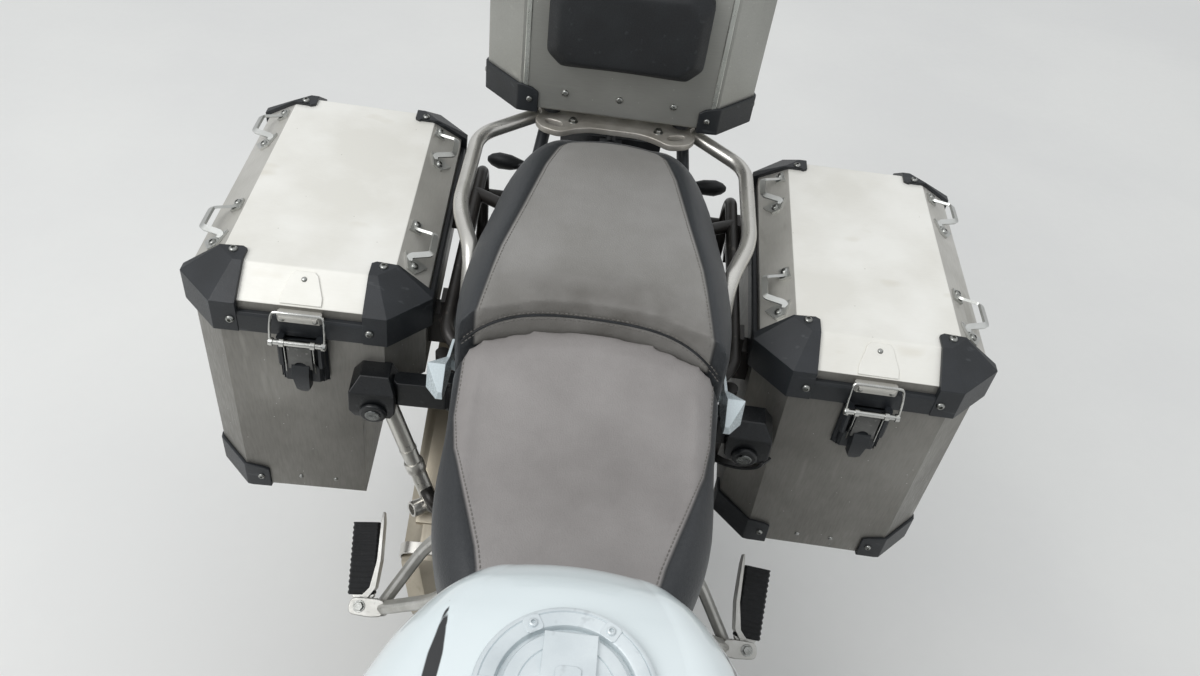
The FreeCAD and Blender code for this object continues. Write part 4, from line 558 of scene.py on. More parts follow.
    # latch below it: chromed roller and bail, stepped black body, bent grey lever, black tongue
    made("latch_body_" + side, together(
        block((104, -236, 236), (176, -227.6, 303), 5), block((106, -247, 268), (117, -235, 312), 3),
        block((163, -247, 268), (174, -235, 312), 3), block((110, -243, 240), (170, -235, 268), 5),
        lofted([[(125, -243, 276), (155, -243, 276), (153, -252, 274), (127, -252, 274)],
                [(125, -243, 262), (155, -243, 262), (153, -256, 262), (127, -256, 262)],
                [(128, -240, 232), (152, -240, 232), (150, -250, 232), (130, -250, 232)],
                [(134, -240, 223), (146, -240, 223), (145, -246, 224), (135, -246, 224)]]),
    ), "black_plastic", cap_plastic, *(["lid_latches"] if sign > 0 else []), edge=1.8, place=clasp)
    half_moon = [(122, 304), (122, 268), (130, 268)]
    half_moon += [(140 - 10 * cos(t), 270 + 9 * sin(t)) for t in np.linspace(0, pi, 9)]
    half_moon += [(150, 268), (158, 268), (158, 304)]
    made("latch_lever_" + side, lofted([[(u, -248, w) for u, w in half_moon], [(u, -250.4, w) for u, w in half_moon]]),
         "black_plastic", lever_plate, edge=0.5, place=clasp)
    roller = facing((140, -253, 313), (1, 0, 0))
    bail = softened([(101, -253, 313), (101, -249, 332), (103, -242, 350), (177, -242, 350), (179, -249, 332),
         (179, -253, 313)],
        6, 4)
    made("latch_bail_" + side, together(
        lathed([(0, -41), (4.6, -41), (5, -40), (5, -35), (3.4, -34.4), (3.4, -26), (5.2, -25.4), (5.2, -19),
                (3.6, -18.4),
                (3.6, 18.4), (5.2, 19), (5.2, 25.4), (3.4, 26), (3.4, 34.4), (5, 35), (5, 40), (4.6, 41), (0, 41)],
               roller),
        swept(bail, circle(1.9, 10)),
        swept([(119, -250, 312), (119, -249, 262)], circle(1.3, 8)), swept([(161, -250, 312), (161, -249, 262)],
                circle(1.3, 8)),
    ), "stainless_steel", bright_wire, sharp=30, place=clasp)

    # rivets along the foot of the front and outer walls
    rows = [((u, iv * CASE_HALF, 22), (0, iv, 0)) for iv in (-1, 1) for u in (70, 116, 164, 212)]
    rows[4:4] = [((CASE_WIDE, v, 22), (1, 0, 0), (0, 1, 0)) for v in (-140, -50, 50, 140)]
    if sign < 0:
        rows = [row for row in rows if row[0][0] > 80]
    repeated("case_rivets_" + side, case, rows, rivet, "case_alloy", screw_steel)
    # bent black shoes over the foot of each outer corner
    shoes, pins = [], []
    for iu, iv in ((0, -1), (0, 1), (1, -1), (1, 1)):
        if sign < 0 and iu == 0:
            continue

        def foot_at(a, b, w):
            """A place from the two walls, and up."""
            return (CASE_WIDE - a if iu else a, iv * (CASE_HALF - b), w)

        shoes.append(bent_shoe(foot_at, 44, (34, 38, 42)))
        pins.append((foot_at(62, -4, 19), (0, iv, 0)))
        pins.append((foot_at(-2.6, 62, 19), (1 if iu else -1, 0, 0), (0, 1, 0)))
    made("case_shoes_" + side, together(*shoes), "black_plastic", cap_plastic,
         *(["case_corners"] if sign > 0 else []), edge=1.2, sharp=25, place=case)
    repeated("case_shoe_screws_" + side, case, pins, dome_screw, "stainless_steel", screw_steel, 0.9)


# The two seats: foam under stretched vinyl, grey panels on top and charcoal ones at the sides,
# blown up by cloth pressure inside the solids they stand for, with sewn seams and stitches after it.
def seat_vinyl(name, colour, shade, side, darker_patch_colour):
    """Grained vinyl: two colours parted by the seam that the mesh's 'panel' distance gives, with a darker patch where a
    second value of the mesh asks; on the passenger seat that patch is painted shade.
    """
    material = bpy.data.materials.new(name)
    material.use_nodes = True
    tree = material.node_tree
    tree.nodes.clear()
    place = add(tree, "ShaderNodeTexCoord").outputs["Object"]
    panel = add(tree, "ShaderNodeAttribute", attribute_name="panel").outputs["Fac"]
    darker_patch = add(tree, "ShaderNodeAttribute", attribute_name="darker_patch").outputs["Fac"]
    clouds = add(tree, "ShaderNodeTexNoise", {"Vector": place, "Scale": 9.0, "Detail": 5, "Roughness": 0.6})
    spread = add(tree, "ShaderNodeMapRange", {0: clouds.outputs[0], 1: 0.35, 2: 0.65})
    top = add(tree, "ShaderNodeMix", {0: spread.outputs[0], 6: linear(colour), 7: linear(shade)}, data_type="RGBA")
    # A darker patch, mixed in by the mesh's second value: painted shade along the passenger seat's front, a darker
    # middle on the rider seat.
    blot = add(tree, "ShaderNodeTexNoise", {"Vector": place, "Scale": 30.0, "Detail": 4})
    darker_patch_mix = add(tree, "ShaderNodeMapRange", {0: blot.outputs[0], 1: 0.3, 2: 0.7, 3: 0.55, 4: 1.0})
    darker_patch_mix = add(tree, "ShaderNodeMath", {0: darker_patch_mix.outputs[0], 1: darker_patch}, operation="MULTIPLY")
    top = add(tree, "ShaderNodeMix", {0: darker_patch_mix.outputs[0], 6: top.outputs[2], 7: linear(darker_patch_colour)}, data_type="RGBA")
    pores = add(tree, "ShaderNodeTexVoronoi", {"Vector": place, "Scale": 620.0}, feature="SMOOTH_F1")
    pores.inputs["Smoothness"].default_value = 0.6
    fine = add(tree, "ShaderNodeTexNoise", {"Vector": place, "Scale": 1500.0, "Detail": 2})
    sides = add(tree, "ShaderNodeTexNoise", {"Vector": place, "Scale": 260.0, "Detail": 3})
    flank = add(tree, "ShaderNodeMix", {0: sides.outputs[0], 6: linear(side), 7: linear("#23262A")}, data_type="RGBA")
    parted = add(tree, "ShaderNodeMapRange", {0: panel, 1: -0.0006, 2: 0.0006})
    colours = add(
        tree, "ShaderNodeMix", {0: parted.outputs[0], 6: top.outputs[2], 7: flank.outputs[2]}, data_type="RGBA",
    )
    # Painted shade: the sewn seam's channel is painted near black, as the shade that falls into it.
    near = add(tree, "ShaderNodeMath", {0: panel}, operation="ABSOLUTE")
    seam_shade = add(tree, "ShaderNodeMapRange", {0: near.outputs[0], 1: 0.0007, 2: 0.0026, 3: 0.75, 4: 0.0})
    colours = add(
        tree, "ShaderNodeMix", {0: seam_shade.outputs[0], 6: colours.outputs[2], 7: linear("#1C1E20")}, data_type="RGBA",
    )
    relief = add(tree, "ShaderNodeMath", {0: pores.outputs[0], 1: fine.outputs[0]}, operation="ADD")
    bump = add(tree, "ShaderNodeBump", {"Strength": 0.7, "Distance": 0.00035, "Height": relief.outputs[0]})
    dull = add(tree, "ShaderNodeMapRange", {0: clouds.outputs[0], 1: 0.3, 2: 0.7, 3: 0.5, 4: 0.62})
    sheen = add(tree, "ShaderNodeMix", {0: parted.outputs[0], 2: dull.outputs[0], 3: 0.48})
    shader = add(tree, "ShaderNodeBsdfPrincipled", {
        "Base Color": colours.outputs[2], "Roughness": sheen.outputs[0], "Normal": bump.outputs[0],
        "Sheen Weight": 0.12, "Sheen Roughness": 0.4,
    })
    add(tree, "ShaderNodeOutputMaterial", {"Surface": shader.outputs[0]})
    return material


def cushion(name, node, material, shrink, cap, pressure):
    """A padded form: the solid of the source, remeshed, blown up by cloth pressure and kept in its space."""
    thing = linked(name, nodes[node].data.copy())
    shape = bmesh.new()
    shape.from_mesh(thing.data)
    bmesh.ops.remove_doubles(shape, verts=shape.verts, dist=0.00005)
    skin = BVHTree.FromBMesh(shape)
    shape.to_mesh(thing.data)
    shape.free()
    remesh = thing.modifiers.new("voxels", "REMESH")
    remesh.mode = "VOXEL"
    remesh.voxel_size = 0.005
    smooth = thing.modifiers.new("evened", "SMOOTH")
    smooth.iterations = 9
    thing.data = evaluated(thing, name)
    thing.modifiers.clear()
    count = len(thing.data.vertices)
    start = np.empty(count * 3)
    thing.data.vertices.foreach_get("co", start)
    normals = np.empty(count * 3)
    thing.data.vertices.foreach_get("normal", normals)
    start, normals = start.reshape(-1, 3), normals.reshape(-1, 3)
    small = start - normals * shrink
    thing.data.vertices.foreach_set("co", small.ravel())
    cloth = thing.modifiers.new("blown_up", "CLOTH")
    cloth.settings.use_pressure = True
    cloth.settings.uniform_pressure_force = pressure
    cloth.settings.effector_weights.gravity = 0
    cloth.settings.quality = 4
    cloth.settings.mass = 0.35
    cloth.collision_settings.use_collision = False
    cloth.point_cache.frame_start, cloth.point_cache.frame_end = 1, 20
    for step in range(1, 21):
        scene.frame_set(step)
    grown = evaluated(thing, name + "_grown")
    thing.modifiers.clear()
    scene.frame_set(1)
    blown = np.empty(count * 3)
    grown.vertices.foreach_get("co", blown)
    blown = blown.reshape(-1, 3)
    bpy.data.meshes.remove(grown)
    move = blown - small
    far = np.linalg.norm(move, axis=1)
    move *= (np.minimum(far, cap) / np.maximum(far, 1e-9))[:, None]
    pairs = np.empty(len(thing.data.edges) * 2, dtype=np.int32)
    thing.data.edges.foreach_get("vertices", pairs)
    a, b = pairs.reshape(-1, 2).T
    links = np.bincount(pairs, minlength=count)[:, None]
    for _ in range(120):  # evens out the small folds of the cloth and keeps its swelling
        near = np.stack([np.bincount(a, move[b, k], count) + np.bincount(b, move[a, k], count) for k in range(3)],
            axis=1)
        move = 0.5 * move + 0.5 * near / links
    settled = small + move
    for i, p in enumerate(settled):
        spot, way, _, _ = skin.find_nearest(Vector(p))
        if spot is not None and (Vector(p) - spot).dot(way) > 0.0012:
            settled[i] = spot + way * 0.0012
    thing.data.vertices.foreach_set("co", settled.ravel())
    subdivide = thing.modifiers.new("rounder", "SUBSURF")
    subdivide.levels = subdivide.render_levels = 1
    thing.data = evaluated(thing, name)
    thing.modifiers.clear()
    thing.data.materials.clear()
    thing.data.materials.append(material)
    thing.data.update()
    return thing


def stored(mesh, name, values):
    """Keeps one number for each vertex, for a material to read."""
    store = mesh.attributes.new(name, "FLOAT", "POINT")
    store.data.foreach_set("value", values.astype(np.float32))


def sewn(thing, distances, lines=(), depth=0.0016, wide=0.004):
    """Presses sewn channels into a padded mesh: along its panel seam, and along lines of places."""
    mesh = thing.data
    count = len(mesh.vertices)
    places, normals = np.empty(count * 3), np.empty(count * 3)
    mesh.vertices.foreach_get("co", places)
    mesh.vertices.foreach_get("normal", normals)
    places, normals = places.reshape(-1, 3), normals.reshape(-1, 3)
    rows = places * 1000 - np.array([0, REAR_AXLE, 0])
    panel = distances(rows) / 1000
    press = np.exp(-(panel / wide) ** 2) * depth
    for line, deep, width in lines:
        gap = np.full(count, 1.0)
        for spot, _, _ in evenly(line, 0.0015):
            gap = np.minimum(gap, np.linalg.norm(places - np.array(spot), axis=1))
        press = np.maximum(press, np.exp(-(gap / width) ** 2) * deep)
    mesh.vertices.foreach_set("co", (places - normals * press[:, None]).ravel())
    stored(mesh, "panel", panel)
    mesh.polygons.foreach_set("use_smooth", [True] * len(mesh.polygons))
    return rows


def laid_on(thing, line, lift=0.0, seen=False):
    """Carries row points straight down onto a piece, or along the view: places with the surface's way."""
    skin = BVHTree.FromPolygons(
        [tuple(v.co) for v in thing.data.vertices], [tuple(p.vertices) for p in thing.data.polygons],
    )
    spots = []
    for x, behind, top in line:
        start, way = at(x, behind, top + 60), Vector((0, 0, -1))
        if seen:
            start, way = EYE, (at(x, behind, top) - EYE).normalized()
        spot, out, _, _ = skin.ray_cast(start, way)
        if spot is not None:
            spots.append((spot + out * lift, out))
    return spots


def evenly(spots, pitch):
    """Spots at an even pitch along a line of (place, way), each with its heading."""
    rows, left = [], pitch / 2
    for (a, way_a), (b, way_b) in zip(spots, spots[1:]):
        long = (b - a).length
        while left < long:
            t = left / long
            rows.append((a.lerp(b, t), way_a.lerp(way_b, t), b - a))
            left += pitch
        left -= long
    return rows


def rider_half(behind):
    """Half the width of the rider seat's top panel, along the seat."""
    return np.interp(behind, [-760, -700, -660, -640, -605, -560, -520, -475, -408, -360],
        [66, 80, 84, 89, 101, 117, 131, 140, 142, 142])


def pillion_half(behind):
    """The same for the passenger seat."""
    return np.interp(behind, [-460, -385, -290, -210, -110, -59, -38], [139, 130, 118, 103, 86, 73, 60])


def rider_seam(rows):
    """How far outside the rider seat's top panel a point is."""
    return np.maximum(np.abs(rows[:, 0]) - rider_half(rows[:, 1]), 838 - rows[:, 2])


def pillion_seam(rows):
    """How far outside the passenger seat's top panel a point is."""
    beside = np.abs(rows[:, 0]) - pillion_half(rows[:, 1])
    return np.maximum(np.maximum(beside, rows[:, 1] + 36), 905 - rows[:, 2])


def pillion_line(shift):
    """The stitched line across the passenger seat's front, as the photograph shows it from above."""
    ends = [(-141, -410, 926), (-136, -405, 930), (-105, -398, 950), (-69, -392, 960), (-3, -390, 963), (55, -392, 960),
            (91, -400, 955), (134, -417, 930), (139, -420, 926)]
    x, behind, z = zip(*ends)
    run, rise = np.polyfit(x, behind, 4), np.polyfit(x, z, 4)
    return [(x, np.polyval(run, x) + shift, np.polyval(rise, x)) for x in np.linspace(-141, 139, 110)]


# The last colour of each is its darker patch: painted shade on the passenger seat.
rider_vinyl = seat_vinyl("rider_seat_vinyl", "#94908E", "#878381", "#343638", "#6A6663")  # warm grey, fine pores
pillion_vinyl = seat_vinyl("pillion_seat_vinyl", "#918F8C", "#85837F", "#323537", "#5A5752")  # cooler, sat-on grey
thread = finish("grey_bonded_thread", "#7C7974", "#66635F", 0, 0.6, 4, 0.6, 0.05)  # twisted pale thread
piping = finish("dark_seam_welt", "#2A2C2F", "#1F2123", 0, 0.55, 20, 1.2, 0.08)  # rolled dark edge
stitch = together(lathed([(0, -1.9), (0.45, -1.5), (0.62, -0.6), (0.62, 0.6), (0.45, 1.5), (0, 1.9)],
    facing((0, 0, 0.25), (1, 0, 0)), 8))

rider = cushion("rider_seat_cover", "rider_seat", rider_vinyl, 0.002, 0.009, 4)
rows = sewn(rider, rider_seam)
# a darker patch in the middle of the rider seat
stored(rider.data, "darker_patch", 0.35 * np.exp(-((rows[:, 1] + 560) / 90) ** 2 - (rows[:, 0] / 70) ** 2))
fit(rider, "chassis", "seat_cover", "rider_seat")

pillion = cushion("pillion_seat_cover", "pillion_seat", pillion_vinyl, 0.003, 0.009, 4)
welt = laid_on(pillion, pillion_line(0), 0.0, seen=True)
rows = sewn(pillion, pillion_seam, [(welt, 0.0022, 0.0032)])
start = np.interp(rows[:, 0], [spot.x * 1000 for spot, _ in welt], [spot.y * 1000 - REAR_AXLE for spot, _ in welt])
back = rows[:, 1] - start
# painted shade: a darker band across the passenger seat's front, about its stitched line, where the seat turns down
# into shade
stored(pillion.data, "darker_patch", 0.9 * np.exp(-(back / 48) ** 2) * np.clip(1.1 - np.abs(rows[:, 0]) / 150, 0, 1) ** 0.4)
fit(pillion, "chassis", "seat_cover", "pillion_seat")

# the sewn lines: one beside each panel seam, and a double one across the passenger seat
PITCH = 5.2e-3  # metres from stitch to stitch
lines = []
for cover, half, low, high, top in ((rider, rider_half, -735, -392, 920), (pillion, pillion_half, -410, -48, 970)):
    for sign in (1, -1):
        line = [(sign * (half(behind) - 4.5), behind, top) for behind in np.arange(low, high, 4.0)]
        lines += evenly(laid_on(cover, line, 0.0001), PITCH)
for shift in (-5.5, 4.5):
    lines += evenly(laid_on(pillion, pillion_line(shift), 0.0001, seen=True), PITCH)
repeated("seat_stitches", Matrix(), lines, stitch, "seat_cover", thread)
welt = laid_on(pillion, pillion_line(0), 0.0002, seen=True)
made("pillion_cross_welt", swept([spot * 1000 for spot, _ in welt], circle(1.5, 8)), "seat_cover", piping, place=MM)


# The pad on the rack case: a soft black moulding with a rolled edge, blown up in the same way.
pad_skin = finish(
    "soft_pad_skin", "#1B1E21", "#15171A", 0, 0.58, 40, 1.6, 0.2, scuffs=("#34373A", 12, 0.5),  # matt
)
pad = cushion("backrest_pad_cover", "backrest_pad", pad_skin, 0.003, 0.006, 3)
sewn(pad, lambda rows: np.abs(rows[:, 1] + 10), depth=0.0014, wide=0.002)
fit(pad, "chassis", "pad_rubber", "backrest_pad")


# The tank: a lacquered centre cover, one smooth dome, parted from its side covers by dark gaps.
# The lacquer is a cool white with a clear coat; the gaps are real grooves, painted near black inside as painted shade.
def lacquer(name, colour, shade, gap_shade_colour):
    """Clear-coated paint, painted near black as painted shade where the mesh's 'gap' distance is below nothing."""
    material = finish(name, colour, shade, 0, 0.34, 260, 40, 0.01, Coat_Weight=0.9, Coat_Roughness=0.07, swing=0.04)
    tree = material.node_tree
    shader = [node for node in tree.nodes if node.type == "BSDF_PRINCIPLED"][0]
    tint = shader.inputs["Base Color"].links[0].from_socket
    gap = add(tree, "ShaderNodeAttribute", attribute_name="gap").outputs["Fac"]
    gap_shade = add(tree, "ShaderNodeMapRange", {0: gap, 1: -0.0006, 2: 0.0002, 3: 1.0, 4: 0.0})
    mixed = add(tree, "ShaderNodeMix", {0: gap_shade.outputs[0], 6: tint, 7: linear(gap_shade_colour)}, data_type="RGBA")
    tree.links.new(mixed.outputs[2], shader.inputs["Base Color"])
    return material


def curve_through(ends, at_points):
    """A smooth curve through (place, value...) rows, read at many places."""
    ends = np.array(sorted(ends), float)
    x, y = ends[:, 0], ends[:, 1:]
    slope = np.gradient(y, x, axis=0)
    k = np.clip(np.searchsorted(x, at_points) - 1, 0, len(x) - 2)
    h = (x[k + 1] - x[k])[:, None]
    t = ((at_points - x[k]) / h[:, 0])[:, None]
    return ((2 * t**3 - 3 * t**2 + 1) * y[k] + (t**3 - 2 * t**2 + t) * h * slope[k]
            + (3 * t**2 - 2 * t**3) * y[k + 1] + (t**3 - t**2) * h * slope[k + 1])


def bowed(stations, places, upright=6, shoulder=16, flat=10, crown=6):
    """Rings of a body with upright sides, round shoulders and a crowned top, left to right."""
    rings = []
    for behind, (w, low, side, top, half) in zip(places, curve_through(stations, places)):
        right = [(w, low + (side - low) * t) for t in np.linspace(0, 1, upright, endpoint=False)]
        for t in np.linspace(0, 1, shoulder, endpoint=False):
            right.append(((1 - t) ** 2 * w + 2 * t * (1 - t) * w * 0.985 + t * t * half,
                (1 - t) ** 2 * side + 2 * t * (1 - t) * top + t * t * top))
        right += [(half * (1 - t), top + crown * (1 - (1 - t) ** 2)) for t in np.linspace(0, 1, flat)]
        rings.append([(-x, behind, z) for x, z in right] + [(x, behind, z) for x, z in right[-2::-1]])
    return rings


# its last colour is the painted shade in the gaps between the covers
white_paint = lacquer("cool_white_lacquer", "#E4ECED", "#DCE6E8", "#0E1013")  # bluish white, mirror-clear coat
cover_rows = [
    (-1026, 112, 905, 978, 1042, 74), (-960, 160, 870, 975, 1066, 86), (-880, 152, 862, 955, 1070, 84),
    (-830, 140, 858, 945, 1069, 76), (-790, 122, 856, 935, 1062, 66), (-760, 100, 870, 928, 1049, 54),
    (-738, 76, 892, 934, 1027, 42), (-724, 58, 913, 942, 1000, 30),
]
rings = bowed(cover_rows, np.linspace(-1026, -724, 196), 8, 34, 48)
count = len(rings[0])
points = np.array([p for ring in rings for p in ring], float)
x, behind = points[:, 0], points[:, 1]
left_mid = np.interp(behind, [-1030, -900, -800, -752], [-90, -85, -81, -78])
left_half = np.interp(behind, [-1030, -900, -830, -806, -789, -783], [6, 6, 5, 2.4, 0.3, -6])
right_mid = np.interp(behind, [-1030, -900, -808, -781], [128, 122, 109, 93])
right_half = np.interp(behind, [-1030, -808, -781, -776], [2.8, 2.4, 1.0, -6])
gap = np.minimum(np.abs(x - left_mid) - left_half, np.abs(x - right_mid) - right_half)
sink = np.clip(-gap / 1.5, 0, 1) * 1.2
radius = np.hypot(x, behind + 851)
sink = np.maximum(sink, np.clip((57 - radius) / 4, 0, 1) * 8)
points[:, 2] -= sink
faces = []
for k in range(len(rings) - 1):
    faces += [(k * count + i, k * count + i + 1, k * count + count + i + 1, k * count + count + i)
        for i in range(count - 1)]
faces.append(tuple(range(len(points) - count, len(points))))
cover = piece("tank_cover_dome", [ROW @ Vector(p) for p in points], faces, white_paint, mend=False, sharp=50)
stored(cover.data, "gap", gap / 1000)
thicken(cover, 2.5, 1)
fit(cover, "chassis", "white_paint", "tank_covers")
bpy.context.view_layer.update()

# black tank below and ahead of the covers, as a smooth moulding
tank_plastic = finish(  # blue-black and finely grained
    "grained_tank_moulding", "#26292D", "#1D2024", 0, 0.5, 90, 1.3, 0.15, scuffs=("#33373B", 20, 0.4, (1, 1, 0.4)),
)
tank_rows = [(-1000, 92, 800, 900, 982, 60), (-900, 124, 790, 925, 1033, 70), (-815, 108, 792, 905, 1007, 56),
    (-758, 72, 815, 870, 942, 36)]
tank_rings = bowed(tank_rows, np.linspace(-1000, -758, 40), 6, 10, 8)
made("tank_moulding", lofted(tank_rings), "black_plastic", tank_plastic, "fuel_tank", sharp=50)


# The filler: a pale satin ring with screwed pockets, and a hinged cap with a raised key bar.
filler_silver = finish(  # almost white, with a soft sheen
    "pale_satin_filler", "#DEE5E7", "#CDD5D8", 0.3, 0.36, 40, 1.4, 0.04, scuffs=("#A9AFB2", 10, 0.4),
)
filler = ROW @ moved((0, -851, 0))
ring_profile = [(30, 1042), (57.4, 1042), (58, 1043), (58, 1077.6), (57.2, 1079.2), (55.6, 1080), (54.6, 1080),
    (54.0, 1079.2), (53.4, 1080), (46.2, 1080), (44.8, 1079.4), (44, 1078), (43.6, 1075.4), (30, 1075.4),
    (30, 1042)]
made("filler_collar", lathed(ring_profile, steps=72), "silver_paint", filler_silver, "filler_ring", sharp=28,
     place=filler)
pockets, screws = [], []
for turn in (30, 90, 150, 210, 270, 330):
    way = Vector((sin(radians(turn)), cos(radians(turn)), 0))
    spot = way * 49.6 + Vector((0, 0, 1079.4))
    square = [(5.8, -4), (5.8, 4), (4, 5.8), (-4, 5.8), (-5.8, 4), (-5.8, -4), (-4, -5.8), (4, -5.8)]
    pockets.append(plate(square, 1.3, facing(spot, (0, 0, 1), way)))
    screws.append((spot + Vector((0, 0, 1.1)), (0, 0, 1), way))
made("filler_pockets", together(*pockets), "silver_paint", filler_silver, edge=0.5, sharp=25, place=filler)
repeated("filler_screws", filler, screws, dome_screw, "silver_paint", filler_silver, 0.62)

cap_profile = [(0, 1076), (39.4, 1076), (40, 1076.8), (40, 1080.2), (39, 1081.6), (37.4, 1082), (31, 1082),
    (30.4, 1081.2), (29.8, 1082), (12, 1082.2), (0, 1082.2)]
made("filler_cap_disc", lathed(cap_profile, steps=64), "silver_paint", filler_silver, "filler_cap", sharp=28,
     place=filler, body="filler_cap")
bridge = [(-17, 37), (-17, -6), (-13, -13), (-6, -17), (6, -17), (13, -13), (17, -6), (17, 37)]
slot_way = facing((0, 2, 1085), (0, 0, 1), (1, 0, 0))
made("filler_key_bridge", together(
    plate(bridge, 3.2, moved((0, 0, 1081.8))),
    plate([(-8, -11), (-5, -13), (5, -13), (8, -11), (8, 11), (5, 13), (-5, 13), (-8, 11)], 1.2, slot_way),
    swept([(-9, -38, 1082), (9, -38, 1082)], circle(3, 12)),
), "silver_paint", filler_silver, edge=1.0, sharp=25, place=filler, body="filler_cap")
lock_face = finish("steel_key_barrel", "#8F918F", "#6E706F", 1.0, 0.25, 6, 1.0, 0.02)  # turned face of a key lock
made("filler_key_barrel", together(
    lathed([(0, 1085.6), (6.2, 1085.6), (6.2, 1086.9), (5.4, 1087.4), (0, 1087.4)], steps=28),
    block((-0.8, -2.8, 1087.2), (0.8, 2.8, 1087.7)),
), "silver_paint", lock_face, edge=0.2, place=filler, body="filler_cap")


# The case on the rack: brushed grey sheet, paler bent edges, black corner guards and dome rivets.
rack_case_metal = finish(
    "brushed_rack_case", "#ADADA8", "#9A9A95", 0.65, 0.42, 190, 1.8, 0.04, along=(0.1, 1, 1), swing=0.1,
    specks=("#D5D6D2", 12, 0.5), scuffs=("#B5B6AF", 34, 0.55, (0.14, 1, 1)),  # fine level brushing with scratches
)
edge_metal = finish("pale_bent_edge", "#C9CBC6", "#B6B8B2", 0.85, 0.32, 60, 1.5, 0.03, along=(1, 1, 0.2))  # rubbed


RACK_HALF = 186  # half the rack case's width


def rack_hoop(inset, w, corner):
    """The plan of the rack case at height w."""
    plan = cut_plan(inset - RACK_HALF, RACK_HALF - inset, 4 + inset, 376 - inset, corner)
    return [(x, y, w) for x, y in plan]


def shut_box(form):
    """The faces of a box that is open at its last ring, as one skin to be given thickness."""
    points, faces = form
    return points, [face for face in faces if face != tuple(range(len(points) - 8, len(points)))]


skin = shut_box(lofted([rack_hoop(3, 980, 50), rack_hoop(0, 983, 50), rack_hoop(0, 1214, 50),
    rack_hoop(-0.8, 1216, 50)]))
rack_box = piece("rack_case_body", *put(skin, ROW), rack_case_metal)
thicken(rack_box, 3)
round_edges(rack_box, 2.0, 20, 3)
fit(rack_box, "chassis", "case_alloy", "topcase")
strips, guards, pins, heads = [], [], [], []
for sx in (1, -1):
    for far in (0, 1):
        def spot(a, b, w):
            """A place from the two walls, and up."""
            return (sx * (RACK_HALF - a), 376 - b if far else 4 + b, 980 + w)

        guards.append(bent_shoe(spot, 50, (26, 32, 36), 26))
        pins.append((spot(64, -4, 16), (0, 1 if far else -1, 0)))
        pins.append((spot(-4, 64, 16), (sx, 0, 0), (0, 1, 0)))
        y = 376.6 if far else 3.4
        strips.append(block((sx * 128 - 3.5, y - 1.2, 984), (sx * 128 + 3.5, y + 1.2, 1213), 0.8))
    heads += [((sx * 74, 4, 1009), (0, -1, 0)), ((sx * 74, 376, 1009), (0, 1, 0)),
        ((sx * 98, 4, 1196), (0, -1, 0)), ((sx * 186, 120, 1009), (sx, 0, 0), (0, 1, 0)),
        ((sx * 186, 260, 1009), (sx, 0, 0), (0, 1, 0))]
heads += [((0, 4, 1009), (0, -1, 0)), ((0, 376, 1009), (0, 1, 0))]
made("rack_case_edges", together(*strips), "case_alloy", edge_metal, edge=0.8)
made("rack_case_guards", together(*guards), "black_plastic", cap_plastic, edge=1.4, sharp=25)
repeated("rack_case_rivets", ROW, heads, dome_screw, "stainless_steel", screw_steel, 0.95)
repeated("rack_case_guard_screws", ROW, pins, dome_screw, "stainless_steel", screw_steel, 0.8)
made("rack_case_hinge_ears", together(*[
    together(block((x, -15.4, 1200), (x + 12, 4.5, 1213), 1),
             lathed([(0, 0), (5.5, 0), (5.5, 12), (0, 12)], facing((x, -10, 1216), (1, 0, 0))))
    for x in (-70, 58)
]), "case_alloy", rack_case_metal, edge=0.8)

# its lid, with a black band like the side cases, ribs pressed in the top and two latches behind
lid_shell = lofted([rack_hoop(0, 1216.4, 50), rack_hoop(0, 1254, 50), rack_hoop(30, 1278.4, 34)])
lid_shell = (lid_shell[0], [face for face in lid_shell[1] if face != tuple(range(8))[::-1]])
cover = piece("rack_case_lid_shell", *put(lid_shell, ROW), rack_case_metal)
thicken(cover, 3)
round_edges(cover, 2.4, 20, 3)
fit(cover, "topcase_lid", "case_alloy", "topcase_lid")
ribs = [lofted([[(x - 5, 60, 1277.4), (x + 5, 60, 1277.4), (x + 5, 320, 1277.4), (x - 5, 320, 1277.4)],
                [(x - 2, 64, 1280), (x + 2, 64, 1280), (x + 2, 316, 1280), (x - 2, 316, 1280)]])
        for x in (-84, -28, 28, 84)]
made("rack_case_lid_ribs", together(*ribs), "case_alloy", rack_case_metal, edge=1.2, sharp=15, body="topcase_lid")
hoops = [rack_hoop(-6.8, 1217.4, 53), rack_hoop(-7.2, 1218, 53), rack_hoop(-7.2, 1243, 53), rack_hoop(-5.4, 1246.4, 52),
    rack_hoop(-0.2, 1247, 50), rack_hoop(-0.2, 1216.6, 50)]
corner_caps = []
for sx in (1, -1):
    for far in (0, 1):
        def tip(a, b, w):
            """A place from the two walls, and up."""
            return (sx * (RACK_HALF - a), 376 - b if far else 4 + b, w)

        corner_caps.append(corner_cap(tip, ((72, -8, 70, 27, 68, 44), (45, -8, 55, 27, 58, 58)), (58, 34, 51),
            (1217, 1256, 1282.4, 1277, 1253)))
hinge = together(lathed([(0, -54), (8, -54), (8, 54), (0, 54)], facing((0, -10, 1216), (1, 0, 0))),
    block((-54, -12, 1217.4), (54, -3, 1225), 2))
band = piece("rack_case_lid_band", *put(together(lofted(hoops, round_trip=True), hinge, *corner_caps), ROW),
    cap_plastic,
    edge=1.8, sharp=22)
fit(band, "topcase_lid", "black_plastic", "topcase_lid_trim")
repeated("rack_case_lid_screws", ROW, [
    ((sx * 131, 321 if far else 59, 1282.4), (0, 0, 1)) for sx in (1, -1) for far in (0, 1)
], dome_screw, "stainless_steel", screw_steel, body="topcase_lid")
